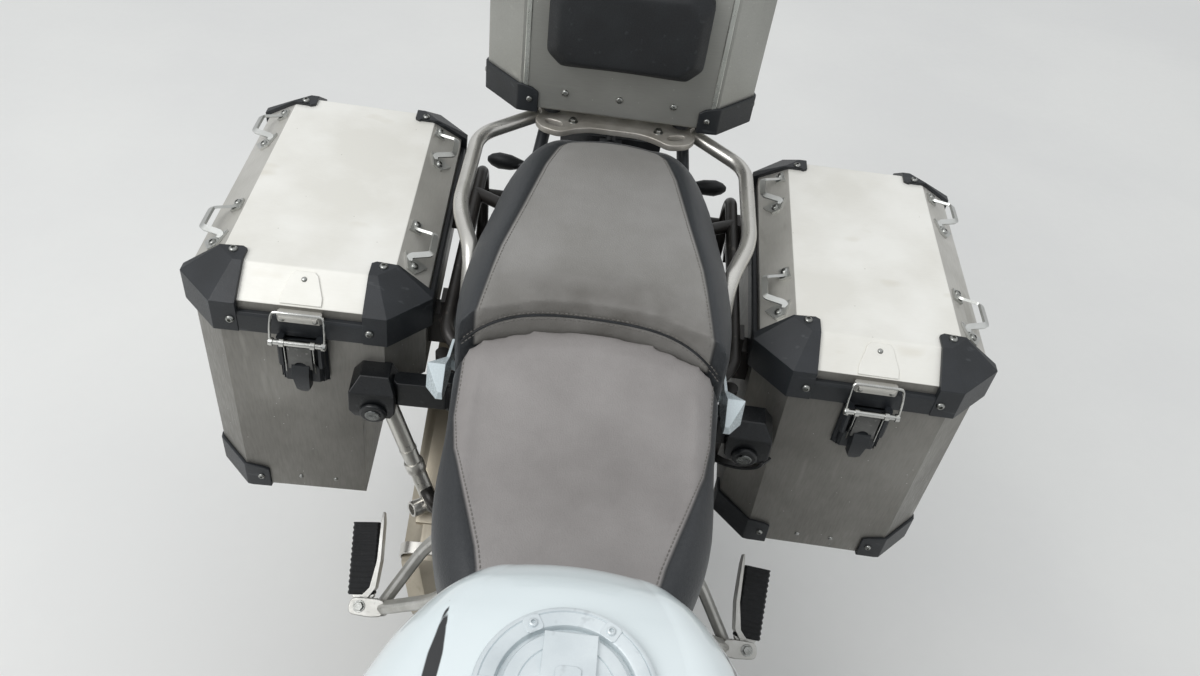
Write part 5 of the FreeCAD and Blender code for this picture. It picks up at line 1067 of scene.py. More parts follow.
for side, sign in (("left", 1), ("right", -1)):
    made("rack_case_latch_" + side, together(
        block((sign * 90 - 30, 374, 1150), (sign * 90 + 30, 379.4, 1212), 5),
        block((sign * 90 - 18, 378, 1156), (sign * 90 + 18, 383.4, 1196), 1.8),
        lathed([(0, -26), (4, -26), (4, -19), (2.8, -18.6), (2.8, 18.6), (4, 19), (4, 26), (0, 26)],
               facing((sign * 90, 379, 1208), (1, 0, 0))),
    ), "black_plastic", cap_plastic, edge=0.8)


# The rack: a pierced cast plate with slotted lugs, on two bent stainless rails that are also grab rails.
rack_casting = finish(  # warm pale grey, faintly pitted
    "pale_rack_casting", "#D3CFC7", "#B5B0A7", 0.6, 0.42, 40, 1.6, 0.12, scuffs=("#B4AFA5", 12, 0.5),
)
rail_steel = finish(
    "brushed_stainless_tube", "#DAD8D2", "#C8C6C0", 0.85, 0.3, 70, 5.0, 0.004, swing=0.03,
    scuffs=("#A3A19B", 26, 0.25, (0.5, 0.5, 1)),  # bright tube with soft dark smears
)


def pierced(outlines, thick, rim=1.2):
    """A flat plate with holes and rounded rims: its first outline is the edge, the rest are holes."""
    curve = bpy.data.curves.new("outline", "CURVE")
    curve.dimensions = "2D"
    curve.fill_mode = "BOTH"
    curve.extrude = thick / 2 - rim
    curve.bevel_depth = rim
    curve.bevel_resolution = 2
    curve.offset = -rim
    for outline in outlines:
        spline = curve.splines.new("POLY")
        spline.points.add(len(outline) - 1)
        spline.points.foreach_set("co", [c for p in outline for c in (p[0], p[1], 0, 1)])
        spline.use_cyclic_u = True
    thing = linked("outline", curve)
    mesh = evaluated(thing, "outline")
    form = [tuple(v.co) for v in mesh.vertices], [tuple(p.vertices) for p in mesh.polygons]
    bpy.data.objects.remove(thing)
    bpy.data.meshes.remove(mesh)
    return form


def rounded(outline, reach, steps=4):
    """A closed outline with its corners rounded."""
    ring = [Vector((x, y, 0)) for x, y in outline]
    line = []
    for k, here in enumerate(ring):
        before, after = ring[k - 1], ring[(k + 1) % len(ring)]
        a = here + (before - here).normalized() * min(reach, (before - here).length * 0.45)
        b = here + (after - here).normalized() * min(reach, (after - here).length * 0.45)
        for t in np.linspace(0, 1, steps + 1):
            p = a * (1 - t) ** 2 + here * 2 * t * (1 - t) + b * t * t
            line.append((p.x, p.y))
    return line


edge_line = [(-104, 30), (-114, 8), (-102, -12), (-76, -20), (-56, -6), (-34, 2), (34, 2), (56, -6), (76, -20),
    (102, -12),
    (114, 8), (104, 30), (128, 64), (128, 266), (98, 298), (-98, 298), (-128, 266), (-128, 64)]
holes = [[(-56, 60), (56, 60), (56, 140), (-56, 140)], [(-56, 170), (56, 170), (56, 250), (-56, 250)]]
for sx in (1, -1):
    holes += [[(sx * 74, -6), (sx * 98, 0), (sx * 98, 13), (sx * 74, 7)],
        [(sx * 76, 70), (sx * 108, 84), (sx * 108, 236),
            (sx * 76, 250)]]
rack_top = put(pierced([rounded(edge_line, 9)] + [rounded(hole, 7) for hole in holes], 9), moved((0, 0, 958.5)))
made("rack_plate", rack_top, "stainless_steel", rack_casting, sharp=40)
rails = []
for sx in (1, -1):
    way = [(112, 40, 950), (187, -18, 941), (185, -180, 934), (157, -252, 924), (156, -300, 850), (122, -312, 817)]
    rails.append(swept(softened([(sx * x, y, z) for x, y, z in way], 26, 10), circle(10, 20)))
    rails.append(lathed([(0, 0), (12, 0), (12, 5), (10.4, 6), (0, 6)],
        facing((sx * 122, -312, 817), (sx * 0.5, -0.2, 1))))
made("rack_rails", together(*rails), "stainless_steel", rail_steel, "luggage_rack", sharp=40)
legs = []
for sx in (1, -1):
    legs.append(swept([(sx * 96, 60, 955), (sx * 112, -64, 868)], circle(9, 16)))
    for y in (40, 250):
        legs.append(lathed([(0, 962), (13, 962), (12, 964), (12, 978), (13, 979.6), (0, 979.6)],
            moved((sx * 92, y, 0))))
made("rack_legs_and_feet", together(*legs), "stainless_steel", cap_plastic, sharp=30)
hex_bolt = together(
    lathed([(0, -1), (9, -1), (9, 0.8), (8.6, 1.2), (0, 1.2)], steps=20),
    lofted([[(7 * x, 7 * y, 1) for x, y in hexagon], [(7 * x, 7 * y, 5.6) for x, y in hexagon],
            [(6.2 * x, 6.2 * y, 6.4) for x, y in hexagon], [(0.01 * x, 0.01 * y, 6.4) for x, y in hexagon]],
           ends=False),
)
repeated("rack_bolts", ROW, [
    ((sx * x, y, 963), (0, 0, 1)) for sx in (1, -1) for x, y in ((60, 12), (118, 120), (118, 210))
], hex_bolt, "stainless_steel", screw_steel, 0.75)


# Carriers for the side cases, in dark bronze paint, and the chromed strut under the right lock.
bronze = finish(  # near black with a brown cast, chipped paler
    "dark_bronze_powder_coat", "#2E2B29", "#242220", 0.3, 0.36, 50, 1.4, 0.06,
    scuffs=("#6A635A", 10, 0.35, (1, 1, 0.4)),
)


def dress(node, material):
    """Gives a solid of the source its finish."""
    thing = nodes[node]
    thing.data.materials.clear()
    thing.data.materials.append(material)


dress("pannier_carriers", bronze)
strut = softened([(-250, -338, 735), (-195, -356, 552), (-124, -482, 642)], 24, 8)
collar = facing((-215, -349.5, 619), (55, -18, -183))
made("carrier_strut_sleeve", together(
    swept([p for p in strut if p[0] < -180], circle(11, 20)),
    lathed([(0, -9), (12.4, -9), (13.2, -7.6), (13.2, 7.6), (12.4, 9), (0, 9)], collar),
    lathed([(0, -34), (11.6, -34), (11.6, -30), (0, -30)], collar),
), "stainless_steel", rail_steel, sharp=40)
made("carrier_stub", together(
    lathed([(0, 0), (11, 0), (11.5, 0.8), (11.5, 25), (11, 26), (8, 26), (8, 6), (0, 6)],
           facing((-196, -362, 552), (-0.55, -0.45, 0.1))),
), "stainless_steel", rail_steel, sharp=40)


# The case locks: faceted black housings with a steel key barrel, each on an arm from its carrier.
lock_plastic = finish(  # deep black with a low sheen
    "satin_black_lock_shell", "#17191B", "#101214", 0, 0.34, 30, 1.4, 0.06, scuffs=("#3B3E41", 10, 0.4),
)
for side, sign, low_u in (("left", 1, -22), ("right", -1, 26)):
    case, mid = case_frame(sign), low_u + 28
    shell = lofted([
        [(low_u + 6, -264, 208), (low_u + 50, -264, 208), (low_u + 50, -232, 208), (low_u + 6, -232, 208)],
        [(low_u, -268, 222), (low_u + 56, -268, 222), (low_u + 56, -226, 218), (low_u, -226, 218)],
        [(low_u, -266, 252), (low_u + 56, -266, 252), (low_u + 56, -226, 256), (low_u, -226, 256)],
        [(low_u + 9, -252, 270), (low_u + 44, -252, 270), (low_u + 44, -226, 272), (low_u + 9, -226, 272)],
    ])
    made("case_lock_" + side, together(
        shell, block((-40, -254, 224), (low_u + 4, -232, 264), 5), block((-44, -250, 218), (-34, -230, 270), 3),
        lathed([(0, 0), (17, 0), (17, 4), (15, 6), (0, 6)], facing((mid - 2, -266, 222), (0, -1, -0.12))),
    ), "black_plastic", lock_plastic, *(["pannier_locks"] if sign > 0 else []), edge=2.2, sharp=20, place=case)
    face = facing((mid - 2, -272, 221.3), (0, -1, -0.12))
    made("case_lock_barrel_" + side, together(
        lathed([(0, -2), (9.6, -2), (9.6, 1), (8.8, 1.8), (0, 1.8)], face, 28),
        put(block((-1.1, -5, 1.2), (1.1, 5, 2.3)), face),
    ), "stainless_steel", lock_face, edge=0.3, place=case)
strap = softened([(34, -262, 214), (30, -258, 196), (10, -250, 180), (-16, -240, 172), (-34, -232, 176)], 12, 5)
made("case_lock_strap", swept(strap, bar(16, 4)), "black_plastic", lock_plastic, edge=1.2, place=case_frame(1))


# Passenger pegs: cast two-armed brackets, thin polished blades and ribbed rubber blocks.
peg_casting = finish(  # pale and silky, greyed where it is touched
    "satin_peg_casting", "#CFCECA", "#B9B8B3", 0.75, 0.38, 30, 1.5, 0.08, scuffs=("#8C8A85", 8, 0.4),
)
rubber_block = finish(  # dull black
    "ribbed_peg_rubber", "#1B1C1E", "#131415", 0, 0.72, 30, 1.3, 0.2, scuffs=("#2B2C2E", 9, 0.5),
)
arms, bolts = [], []
for side, sign in (("left", 1), ("right", -1)):
    clevis = Matrix(((sign, 0, 0, sign * 263), (0, 0.866, -0.5, -486), (0, 0.5, 0.866, 474), (0, 0, 0, 1)))
    nose = rounded([(12, -11), (15, 0), (11, 11), (-20, 12), (-33, 10), (-33, -10), (-16, -13)], 6)
    arms += [plate(nose, 9, clevis @ moved((0, 0, 12.5))), plate(nose, 9, clevis @ moved((0, 0, -21.5)))]
    arms.append(put(block((-34, -10, -14), (-18, 10, 14), 3), clevis))
    for path, wide in ((((sign * 122, -560, 672), (sign * 166, -520, 566), (sign * 240, -488, 477)), 10),
            (((sign * 125, -440, 654), (sign * 186, -439, 558), (sign * 240, -484, 471)), 8.5)):
        line = softened(path, 22, 6)
        section = [(-wide, -4), (3 - wide, -7), (wide - 3, -7), (wide, -4), (wide, 4), (wide - 3, 7), (3 - wide, 7),
            (-wide, 4)]
        arms.append(swept(line, section))
    bolts += spots_on(ROW @ clevis, [((0, 0, 21.5), (0, 0, 1))])
    peg = clevis @ Matrix.Rotation(radians(-5.8), 4, "Z")
    made("passenger_peg_blade_" + side, together(
        lathed([(4.3, -11.5), (9, -11.5), (9, 11.5), (4.3, 11.5), (4.3, -11.5)], clevis),
        put(lofted([[(x * k + shift, y, z * m) for x, z in ((-3, -11), (3, -11), (3, 11), (-3, 11))]
                    for y, k, m, shift in ((8, 2.2, 0.8, 0), (24, 1.5, 0.9, -14), (60, 1, 1, -20), (112, 0.8, 0.9, -21),
                                           (126, 0.5, 0.5, -21))]), peg),
        put(block((-16, 10, -5), (14, 26, 5), 3), peg),
    ), "peg_alloy", peg_casting, "passenger_peg_" + side, edge=1.0, body="passenger_peg_" + side)
    ribs = []
    for k in range(27):
        y, deep = 18 + k * 3.6, 1.5 if k % 2 else 0
        ribs.append([(x * (1 - deep / 20), y, z * (1 - deep / 10)) for x, z in (
            (-15, -9.5), (17, -9.5), (20, -6), (20, 6), (17, 9.5), (-15, 9.5), (-17, 7), (-17, -7))])
    made("passenger_peg_rubber_" + side, lofted([[(x * 0.9, 15, z * 0.85) for x, _, z in ribs[0]]] + ribs),
         "pad_rubber", rubber_block, edge=0.6, place=ROW @ peg, body="passenger_peg_" + side)
made("passenger_peg_arms", together(*arms), "peg_alloy", peg_casting, "passenger_peg_brackets", edge=1.4, sharp=35)
repeated("passenger_peg_bolts", Matrix(), bolts, hex_bolt, "stainless_steel", screw_steel, 0.9)


# Lamps: leaf-shaped black stalks with amber lenses, and a red tail lamp in a black housing.
amber = finish(  # orange, ribbed and glossy
    "amber_ribbed_lens", "#C8640E", "#B4560A", 0, 0.12, 12, 4, 0.3, along=(0.1, 1, 1), Coat_Weight=0.6,
)
red_lens = finish(  # deep red, ribbed and glossy
    "red_ribbed_lens", "#9C1410", "#84100C", 0, 0.1, 14, 3.4, 0.3, along=(1, 1, 0.1), Coat_Weight=0.7,
)
stalk_black = finish("soft_black_stalk", "#1E2023", "#16181A", 0, 0.5, 30, 1.3, 0.1)  # soft black
stalks, lenses = [], []
for sign in (1, -1):
    for out, behind, z, back in ((148, 172, 777, 1), (150, -1296, 960, -1)):
        rings = []
        for t, wide, deep in ((-14, 5, 5), (0, 9, 8), (14, 13, 12), (34, 14, 13), (46, 10, 9), (53, 4, 4)):
            rings.append([(sign * (out + t), behind + back * (2 + deep * cos(a)), z + t * 0.06 + wide * sin(a))
                for a in angles(14)])
        stalks.append(lofted(rings))
        rings = []
        for t, wide, deep in ((2, 4, 9.6), (12, 11, 14.4), (32, 12, 15.2), (44, 8, 12), (48, 3, 8)):
            rings.append([(sign * (out + t), behind + back * (2 + deep * max(cos(a), 0.35)),
                 z + t * 0.06 + wide * sin(a))
                for a in np.linspace(-1.2, 1.2, 9)])
        lenses.append(lofted(rings))
    stalks.append(swept([(sign * 70, -1336, 958), (sign * 140, -1300, 960)], circle(7, 12)))
stalks.append(lofted([
    [(-48, 312, 774), (48, 312, 774), (44, 312, 808), (-44, 312, 808)],
    [(-48, 334, 768), (48, 334, 768), (48, 334, 814), (-48, 334, 814)],
]))
stalks.append(swept([(0, 290, 770), (0, 318, 788)], circle(10, 14)))
made("indicator_stalks", together(*stalks), "lamp_lens", stalk_black, "lamps", edge=1.0, sharp=40)
made("indicator_lenses", together(*lenses), "lamp_lens", amber, sharp=50)
made("tail_lamp_lens", lofted([
    [(-44, 333, 771), (44, 333, 771), (44, 333, 811), (-44, 333, 811)],
    [(-42, 339.6, 773), (42, 339.6, 773), (42, 339.6, 809), (-42, 339.6, 809)],
]), "lamp_lens", red_lens, edge=1.6)


# The side case bodies: folded from brushed sheet, welded at the corners and hung on the tube carriers.
# They keep the source's own form, with its folded edges rounded.
def finished(node, slot, material, edge=0.0, angle=30, body="chassis"):
    """The same form as a solid of the source, with its flats made whole and its edges rounded."""
    shape = bmesh.new()
    shape.from_mesh(nodes[node].data)
    bmesh.ops.remove_doubles(shape, verts=shape.verts, dist=0.00002)
    bmesh.ops.dissolve_limit(shape, angle_limit=radians(1), verts=shape.verts, edges=shape.edges)
    mesh = bpy.data.meshes.new(node + "_finished")
    shape.to_mesh(mesh)
    shape.free()
    mesh.materials.clear()
    mesh.materials.append(material)
    mesh.polygons.foreach_set("use_smooth", [True] * len(mesh.polygons))
    thing = linked(node + "_finished", mesh)
    if edge:
        round_edges(thing, edge, angle)
    else:
        mesh.set_sharp_from_angle(angle=radians(angle))
    return fit(thing, body, slot, node)


finished("pannier_left", "case_alloy", case_metal, 1.5)
finished("pannier_right", "case_alloy", case_metal, 1.5)
tail_paint = finish(  # bluish white with a clear shine
    "white_tail_lacquer", "#D9E3E6", "#CBD7DB", 0, 0.26, 300, 2, 0.02, Coat_Weight=0.5, Coat_Roughness=0.12,
)
panels = []
for sign in (1, -1):
    panels.append(lofted([[(sign * near, y, low), (sign * (near + wide), y, low), (sign * (near + wide - 3), y, high),
         (sign * near, y, high)]
        for y, near, wide, low, high in ((-412, 163, 8, 830, 842), (-388, 163, 24, 822, 864),
            (-362, 163, 7, 820, 850),
            (-250, 162, 4, 828, 846), (-110, 144, 5, 866, 874))]))
    panels.append(swept([(sign * 118, -352, 812), (sign * 166, -352, 828)], circle(6, 12)))
made("tail_panels_moulded", together(*panels), "white_paint", tail_paint, "tail_panels", edge=1.2, sharp=25)


# The tyres: black road-and-trail rubber with skewed blocks between deep grooves, moulded in one piece.
# The carcass is turned; Geometry Nodes set the blocks round it, a half pitch apart from row to row.
tyre_rubber = finish(  # matt charcoal, dusted on its ridges
    "moulded_tyre_rubber", "#262728", "#1C1D1E", 0, 0.76, 70, 1.6, 0.2, scuffs=("#55524C", 16, 0.5),
)
FRONT = moved(at(0, -1510, 325)) @ MM
REAR = moved(at(0, 0, 340)) @ MM
across = facing((0, 0, 0), (1, 0, 0))
for name, place, radius, wide, rim_r, bead, deep, count, long in (
    ("front", FRONT, 325, 120, 241, 76, 6, 54, 28), ("rear", REAR, 318, 170, 216, 118, 7, 46, 32),
):
    drop, reach, belly = 0.12 * wide, 0.43 * wide, (rim_r + radius) / 2 + 2
    arc = (reach ** 2 + drop ** 2) / (2 * drop)
    wall = []
    for t in np.linspace(0, 1, 13):
        a, m, b = 2 * t * t - 3 * t + 1, 4 * t - 4 * t * t, 2 * t * t - t
        rib = 1.2 if 0.1 < t < 0.2 or 0.55 < t < 0.65 else 0
        wall.append((a * (rim_r + 0.3) + m * belly + b * (radius - drop),
            a * bead / 2 + m * wide / 2 + b * reach - 1.2 + rib))
    lean = asin(reach / arc)
    crown = [(radius - arc + (arc - deep) * cos(t), (arc - deep) * sin(t)) for t in np.linspace(lean, -lean, 13)]
    lining = [(rim_r + 0.3, 9 - bead / 2), (belly, 10 - wide / 2), (radius - drop - 12, 12 - reach), (radius - 16, 0),
        (radius - drop - 12, reach - 12), (belly, wide / 2 - 10), (rim_r + 0.3, bead / 2 - 9)]
    section = wall + crown + [(r, -x) for r, x in wall[::-1]] + lining + [wall[0]]
    made(name + "_tyre_carcass", lathed(section, across, 128), "tyre_rubber", tyre_rubber,
         name + "_tyre", sharp=30, place=place, body=name + "_wheel")
    for row, off, turn, width in (("crown", 0.13, 20, 0.17), ("shoulder", 0.335, -8, 0.17)):
        spots = []
        for sign in (1, -1):
            s = sign * off * wide / arc
            for k in range(count):
                t = 2 * pi * (k + (0.5 if sign > 0 else 0) + (0.5 if row == "shoulder" else 0)) / count
                out, around = Vector((0, cos(t), sin(t))), Vector((0, -sin(t), cos(t)))
                aside = Vector((1, 0, 0))
                spot = aside * arc * sin(s) + out * (radius - arc + arc * cos(s))
                level = (aside * cos(s) - out * sin(s)) * sin(radians(sign * turn))
                spots.append((spot, aside * sin(s) + out * cos(s), around * cos(radians(turn)) + level))
        repeated(f"{name}_tyre_{row}_blocks", place, spots,
            block((-long / 2, -width * wide / 2, -deep - 1), (long / 2, width * wide / 2, -1.0), 3),
            "tyre_rubber", tyre_rubber, edge=0.8, body=name + "_wheel")


# The wheels: dark anodised rims on crossed stainless spokes, laced to cast hubs.
# Geometry Nodes set each spoke with its nipple; the two sides of the rear hub differ in width.
rim_dark = finish(  # dark satin grey
    "anodised_rim", "#3B3C3F", "#323336", 0.9, 0.36, 60, 2.0, 0.03, scuffs=("#6A6A69", 12, 0.3),
)
hub_cast = finish("cast_hub_alloy", "#8B8C8C", "#777879", 0.9, 0.46, 40, 1.5, 0.12)  # grey with a cast grain
spoke_steel = finish("stainless_spoke", "#C6C6C2", "#A9A9A5", 1.0, 0.24, 20, 2.0, 0.01)  # bright drawn wire
for name, place, rim_r, half, hub_r, flange_r, near, far, ends, spoke_x, bore in (
    ("front", FRONT, 241, 38, 34, 48, -45, 45, (-63.5, 63.5), 26, 13.3),
    ("rear", REAR, 216, 59, 62, 82, -52, 20, (-60, 47.5), 30, 25),
):
    low = rim_r - 18
    ring = [(rim_r, half), (rim_r, half - 5), (rim_r - 13, half - 9), (rim_r - 13, 9 - half), (rim_r, 5 - half),
            (rim_r, -half),
            (low + 7, 1.5 - half), (low, 14 - half), (low, half - 14), (low + 7, half - 1.5), (rim_r, half)]
    made(name + "_rim", lathed(ring, across, 120), "wheel_alloy", rim_dark, name + "_wheel", edge=1.0,
         sharp=28, place=place, body=name + "_wheel")
    barrel = [(bore, ends[0]), (hub_r - 2, ends[0]), (hub_r, ends[0] + 2), (hub_r, near), (flange_r, near),
        (flange_r, near + 7),
        (hub_r, near + 14), (hub_r - 3, 0.5 * (near + far)), (hub_r, far - 14), (flange_r, far - 7),
        (flange_r, far),
        (hub_r, far), (hub_r, ends[1] - 2), (hub_r - 2, ends[1]), (bore, ends[1]), (bore, ends[0])]
    made(name + "_hub", lathed(barrel, across, 64), "wheel_alloy", hub_cast, edge=1.0, sharp=30, place=place,
         body=name + "_wheel")
    for side in (1, -1):
        hub_x = far - 3.5 if side > 0 else near + 3.5
        spots, long = [], 0
        for i in range(14):
            turn, lean = 2 * pi * (2 * i + (1 if side > 0 else 0)) / 28, radians(22 if i % 2 else -22)
            start = Vector((hub_x, (flange_r - 5) * cos(turn), (flange_r - 5) * sin(turn)))
            end = Vector((side * spoke_x, (low + 1) * cos(turn + lean), (low + 1) * sin(turn + lean)))
            long = (end - start).length
            spots.append((start, end - start, (1, 0, 0)))
        spoke = lathed([(0, -3), (3.4, -3), (3.4, 0), (2.1, 2), (2.1, long - 20), (3.3, long - 18), (3.3, long),
            (0, long)], steps=10)
        repeated(f"{name}_spokes_{'left' if side > 0 else 'right'}", place, spots, spoke, "wheel_alloy", spoke_steel,
            body=name + "_wheel")


# The brake discs: drilled steel rings floating on dark carriers, with steel bobbins and carrier bolts.
disc_steel = finish(  # pale ground steel with faint rings of wear
    "ground_disc_steel", "#B9B9B6", "#A3A3A0", 1.0, 0.28, 40, 1.6, 0.02, scuffs=("#8E8D89", 10, 0.4),
)
disc_carrier = finish("black_disc_carrier", "#26282B", "#1F2123", 0.6, 0.42, 30, 1.4, 0.05)  # black satin


def ring_line(radius, x=0.0, y=0.0, steps=64):
    """A round outline about a point."""
    return [(x + radius * cos(t), y + radius * sin(t)) for t in angles(steps)]


for name, place, xs, outer, inner, bolt_r in (
    ("front", FRONT, (-66, 66), 152, 19, 42), ("rear", REAR, (50,), 138, 31, 48),
):
    bands, webs, bobbins, bolts = [], [], [], []
    edge_r = outer - 36
    for x in xs:
        disc = moved((x, 0, 0)) @ across
        rounds = ((outer - 8, 0), (outer - 17, 0.07), (outer - 27, 0.14))  # three rows of holes, each a little round
        drilled = [ring_line(3.4, r * cos(t), r * sin(t), 8) for r, lag in rounds for t in angles(26, lag)]
        bands.append(put(pierced([ring_line(outer), ring_line(edge_r + 4)] + drilled, 4.6, 0.4), disc))
        mid = (edge_r + bolt_r + 12) / 2
        windows = [ring_line(0.2 * mid, mid * cos(t), mid * sin(t), 14) for t in angles(10, 0.3)]
        webs.append(put(pierced([ring_line(edge_r), ring_line(inner)] + windows, 4.0, 0.8), disc))
        for t in angles(10):
            bobbins.append(((x, (edge_r + 2) * cos(t), (edge_r + 2) * sin(t)), (1, 0, 0), (0, 1, 0)))
        for t in angles(6):
            bolts.append(((x + (2 if x > 0 else -2), bolt_r * cos(t), bolt_r * sin(t)), (1 if x > 0 else -1, 0, 0),
                (0, 1, 0)))
    node = name + ("_discs" if name == "front" else "_disc")
    made(name + "_disc_rings", together(*bands), "disc_steel", disc_steel, node, sharp=30, place=place,
         body=name + "_wheel")
    made(name + "_disc_carriers", together(*webs), "disc_steel", disc_carrier, sharp=30, place=place,
         body=name + "_wheel")
    repeated(name + "_disc_bobbins", place, bobbins,
        lathed([(0, -2.5), (6.4, -2.5), (7, -2), (7, 2), (6.4, 2.5), (3, 2.5), (0, 1.4)], steps=16), "disc_steel",
        spoke_steel, body=name + "_wheel")
    repeated(name + "_disc_bolts", place, bolts, dome_screw, "disc_steel", screw_steel, 0.85, body=name + "_wheel")


# The fork: chromed inner tubes in cast sliders, clamped by two bridges, with radial brake calipers.
# The source's solid stays; the bright tubes, seals, caps and bolts are set on it in the fork's own frame.
FORK = moved(at(0, -1510, 325)) @ Matrix.Rotation(radians(-25.5), 4, "X") @ MM
fork_cast = finish(  # mid grey with a fine orange peel
    "painted_fork_casting", "#5E6063", "#505255", 0.7, 0.42, 60, 1.4, 0.1,
)
fork_chrome = finish("chromed_fork_tube", "#D4D4D1", "#C8C8C5", 1.0, 0.14, 60, 8.0, 0.002, swing=0.02)  # mirror-bright
dress("fork_legs", fork_cast)
tubes, seals, stops = [], [], []
for sign in (1, -1):
    tubes.append(lathed([(22.2, 400), (22.4, 402), (22.4, 798), (22.2, 799)], moved((sign * 108, 26, 0)), 32))
    seals.append(lathed([(22.3, 430), (26, 429), (29, 420), (31, 418), (31, 402), (30.2, 400)],
        moved((sign * 108, 26, 0)), 32))
    seals.append(lathed([(0, 842), (17, 842), (20, 838.5), (20, 832), (22.2, 830)], moved((sign * 108, 26, 0)), 32))
    stops += [((sign * 108, 26, 842), (0, 0, 1)), ((sign * 134, 0, 0), (sign, 0, 0), (0, 0, 1)),
        ((sign * 99, 60, 78), (sign, 0, 0), (0, 0, 1)), ((sign * 99, 60, 132), (sign, 0, 0), (0, 0, 1)),
        ((sign * 136, 10, 825), (0, 0, 1)), ((sign * 134, 6, 465), (0, 0, 1))]
made("fork_inner_tubes", together(*tubes), "fork_metal", fork_chrome, place=FORK, body="steering")
made("fork_seals_and_caps", together(*seals), "fork_metal", stalk_black, edge=0.6, place=FORK, body="steering")
repeated("fork_bolts", FORK, stops, hex_bolt, "fork_metal", screw_steel, 0.8, body="steering")


# The front mudguard: a white moulded hoop over the tyre, on stays at both fork legs.
guard_paint = finish(  # bluish white, moulded and softly glossy
    "white_mudguard_plastic", "#E3EAEC", "#D8E0E3", 0, 0.3, 300, 2, 0.02, Coat_Weight=0.4, Coat_Roughness=0.15,
)
finished("front_fender", "white_paint", guard_paint, 2.0, 40, body="steering")
repeated("front_mudguard_screws", FORK, [
    ((sign * 84, 26 + y, 333), (sign, 0, 0), (0, 0, 1)) for sign in (1, -1) for y in (-10, 10)
], dome_screw, "stainless_steel", screw_steel, body="steering")


# The engine: a sand-cast flat twin, its barrels finned and its heads under smooth covers with cap screws.
# The front cover, side covers, ribs and screws are set on the source's block.
engine_cast = finish(  # matt grey with the pits of a sand mould
    "sand_cast_engine_alloy", "#A3A4A3", "#8B8C8B", 0.85, 0.5, 60, 1.5, 0.2, scuffs=("#6F6C66", 20, 0.5),
)
cover_alloy = finish(  # paler and smoother than the block
    "machined_cover_alloy", "#BDBEBC", "#A6A7A5", 0.9, 0.38, 60, 1.6, 0.06, scuffs=("#8B8985", 14, 0.4),
)
dress("engine", engine_cast)
finished("valve_covers", "cover_alloy", cover_alloy, 4.0, 20)
front_face = facing((0, -1080, 452), (0, -1, 0))
ribs = [lathed([(0, 0), (92, 0), (96, -3), (104, -4), (104, -1), (97, 2), (90, 4), (40, 5), (36, 8), (0, 9)],
    front_face, 64)]
screws = [((96 * cos(t), -1081, 452 + 96 * sin(t)), (0, -1, 0), (1, 0, 0)) for t in angles(10, 0.2)]
for sign in (1, -1):
    mid = -852 + sign * 18
    side = facing((sign * 127, -740, 452), (sign, 0, 0))
    ribs.append(lathed([(0, 0), (34, 0), (36, 2), (36, 5), (33, 7), (10, 8), (0, 8)], side, 40))
    for z in (-50, -30, 30, 50):
        ribs.append(block((min(sign * 308, sign * 364), mid - 50, 452 + z - 2.5),
            (max(sign * 308, sign * 364), mid + 50, 452 + z + 2.5), 1.5))
    wall = [(sign * x, y) for x, y in ((126, -1046), (131, -1040), (131, -948), (126, -942))]
    ribs.append(lofted([[(x, y, z) for x, y in wall] for z in (300, 520)]))
    for y in range(-1030, -950, 14):
        ribs.append(block((min(sign * 130, sign * 136), y, 312), (max(sign * 130, sign * 136), y + 4, 508), 1))
    ribs.append(block((min(sign * 126, sign * 132), -1040, 548), (max(sign * 126, sign * 132), -700, 600), 3))
    for y, z in ((-70, -56), (70, -56), (-70, 56), (70, 56)):
        screws.append(((sign * 350, mid + 0.93 * y, 452 + 0.93 * z), (sign, 0.15 * (y > 0) - 0.15 * (y < 0), 0),
            (0, 0, 1)))
    for y, z in ((-1030, 320), (-1030, 500), (-960, 590), (-720, 598), (-712, 262), (-980, 262)):
        screws.append(((sign * 128, y, z), (sign, 0, 0), (0, 0, 1)))
    for t in angles(5):
        screws.append(((sign * 132, -740 + 29 * cos(t), 452 + 29 * sin(t)), (sign, 0, 0), (0, 0, 1)))
made("engine_covers_and_ribs", together(*ribs), "engine_alloy", cover_alloy, edge=0.8, sharp=30)
repeated("engine_screws", ROW, screws, hex_bolt, "engine_alloy", screw_steel, 0.75)


# The exhaust: stainless headers gone straw and blue near the ports, and a champagne-coloured silencer.
# Band clamps hold the joints.
header_steel = finish(  # straw-coloured with bluish stains
    "heat_tinted_stainless", "#BFB7A8", "#A59B8B", 0.9, 0.3, 60, 2.4, 0.02, scuffs=("#5F6070", 34, 0.6, (1, 1, 0.6)),
)
champagne = finish(  # beige satin with brown smears
    "champagne_silencer_sheet", "#C0B8A8", "#ADA493", 0.8, 0.38, 110, 2.0, 0.03, along=(1, 0.2, 1),
    scuffs=("#8B7F6D", 26, 0.5, (1, 0.4, 1)),
)
dress("exhaust", header_steel)
finished("silencer", "silencer_steel", champagne, 5.0, 25)
bands, rivets = [], []
for sign, y in ((1, -834), (-1, -870)):
    bands.append(lathed([(21, -6), (27, -6), (28, -5), (28, 5), (27, 6), (21, 6)],
        facing((sign * 262, y, 352), (0, 0, 1)), 32))
slope = Vector((-12, 420, 144)).normalized()
for back in (0, 1):
    mid = Vector((-171, -385, 441)) if not back else Vector((-182, 8, 576))
    wide, tall = (58.5, 68.5) if not back else (57.5, 67.5)
    rings = []
    for along, out in ((-8, -1.5), (-8, 1), (8, 1), (8, -1.5)):
        rings.append([mid + slope * along + Vector((a * (1 + out / wide), -b * 0.34, b * (1 + out / tall))) for a,
                      b in rounded(
            [(-wide, -tall), (wide, -tall), (wide, tall), (-wide, tall)], 30, 5)])
    bands.append(lofted(rings, round_trip=True))
made("exhaust_bands", together(*bands), "exhaust_steel", rail_steel, edge=0.5, sharp=30)


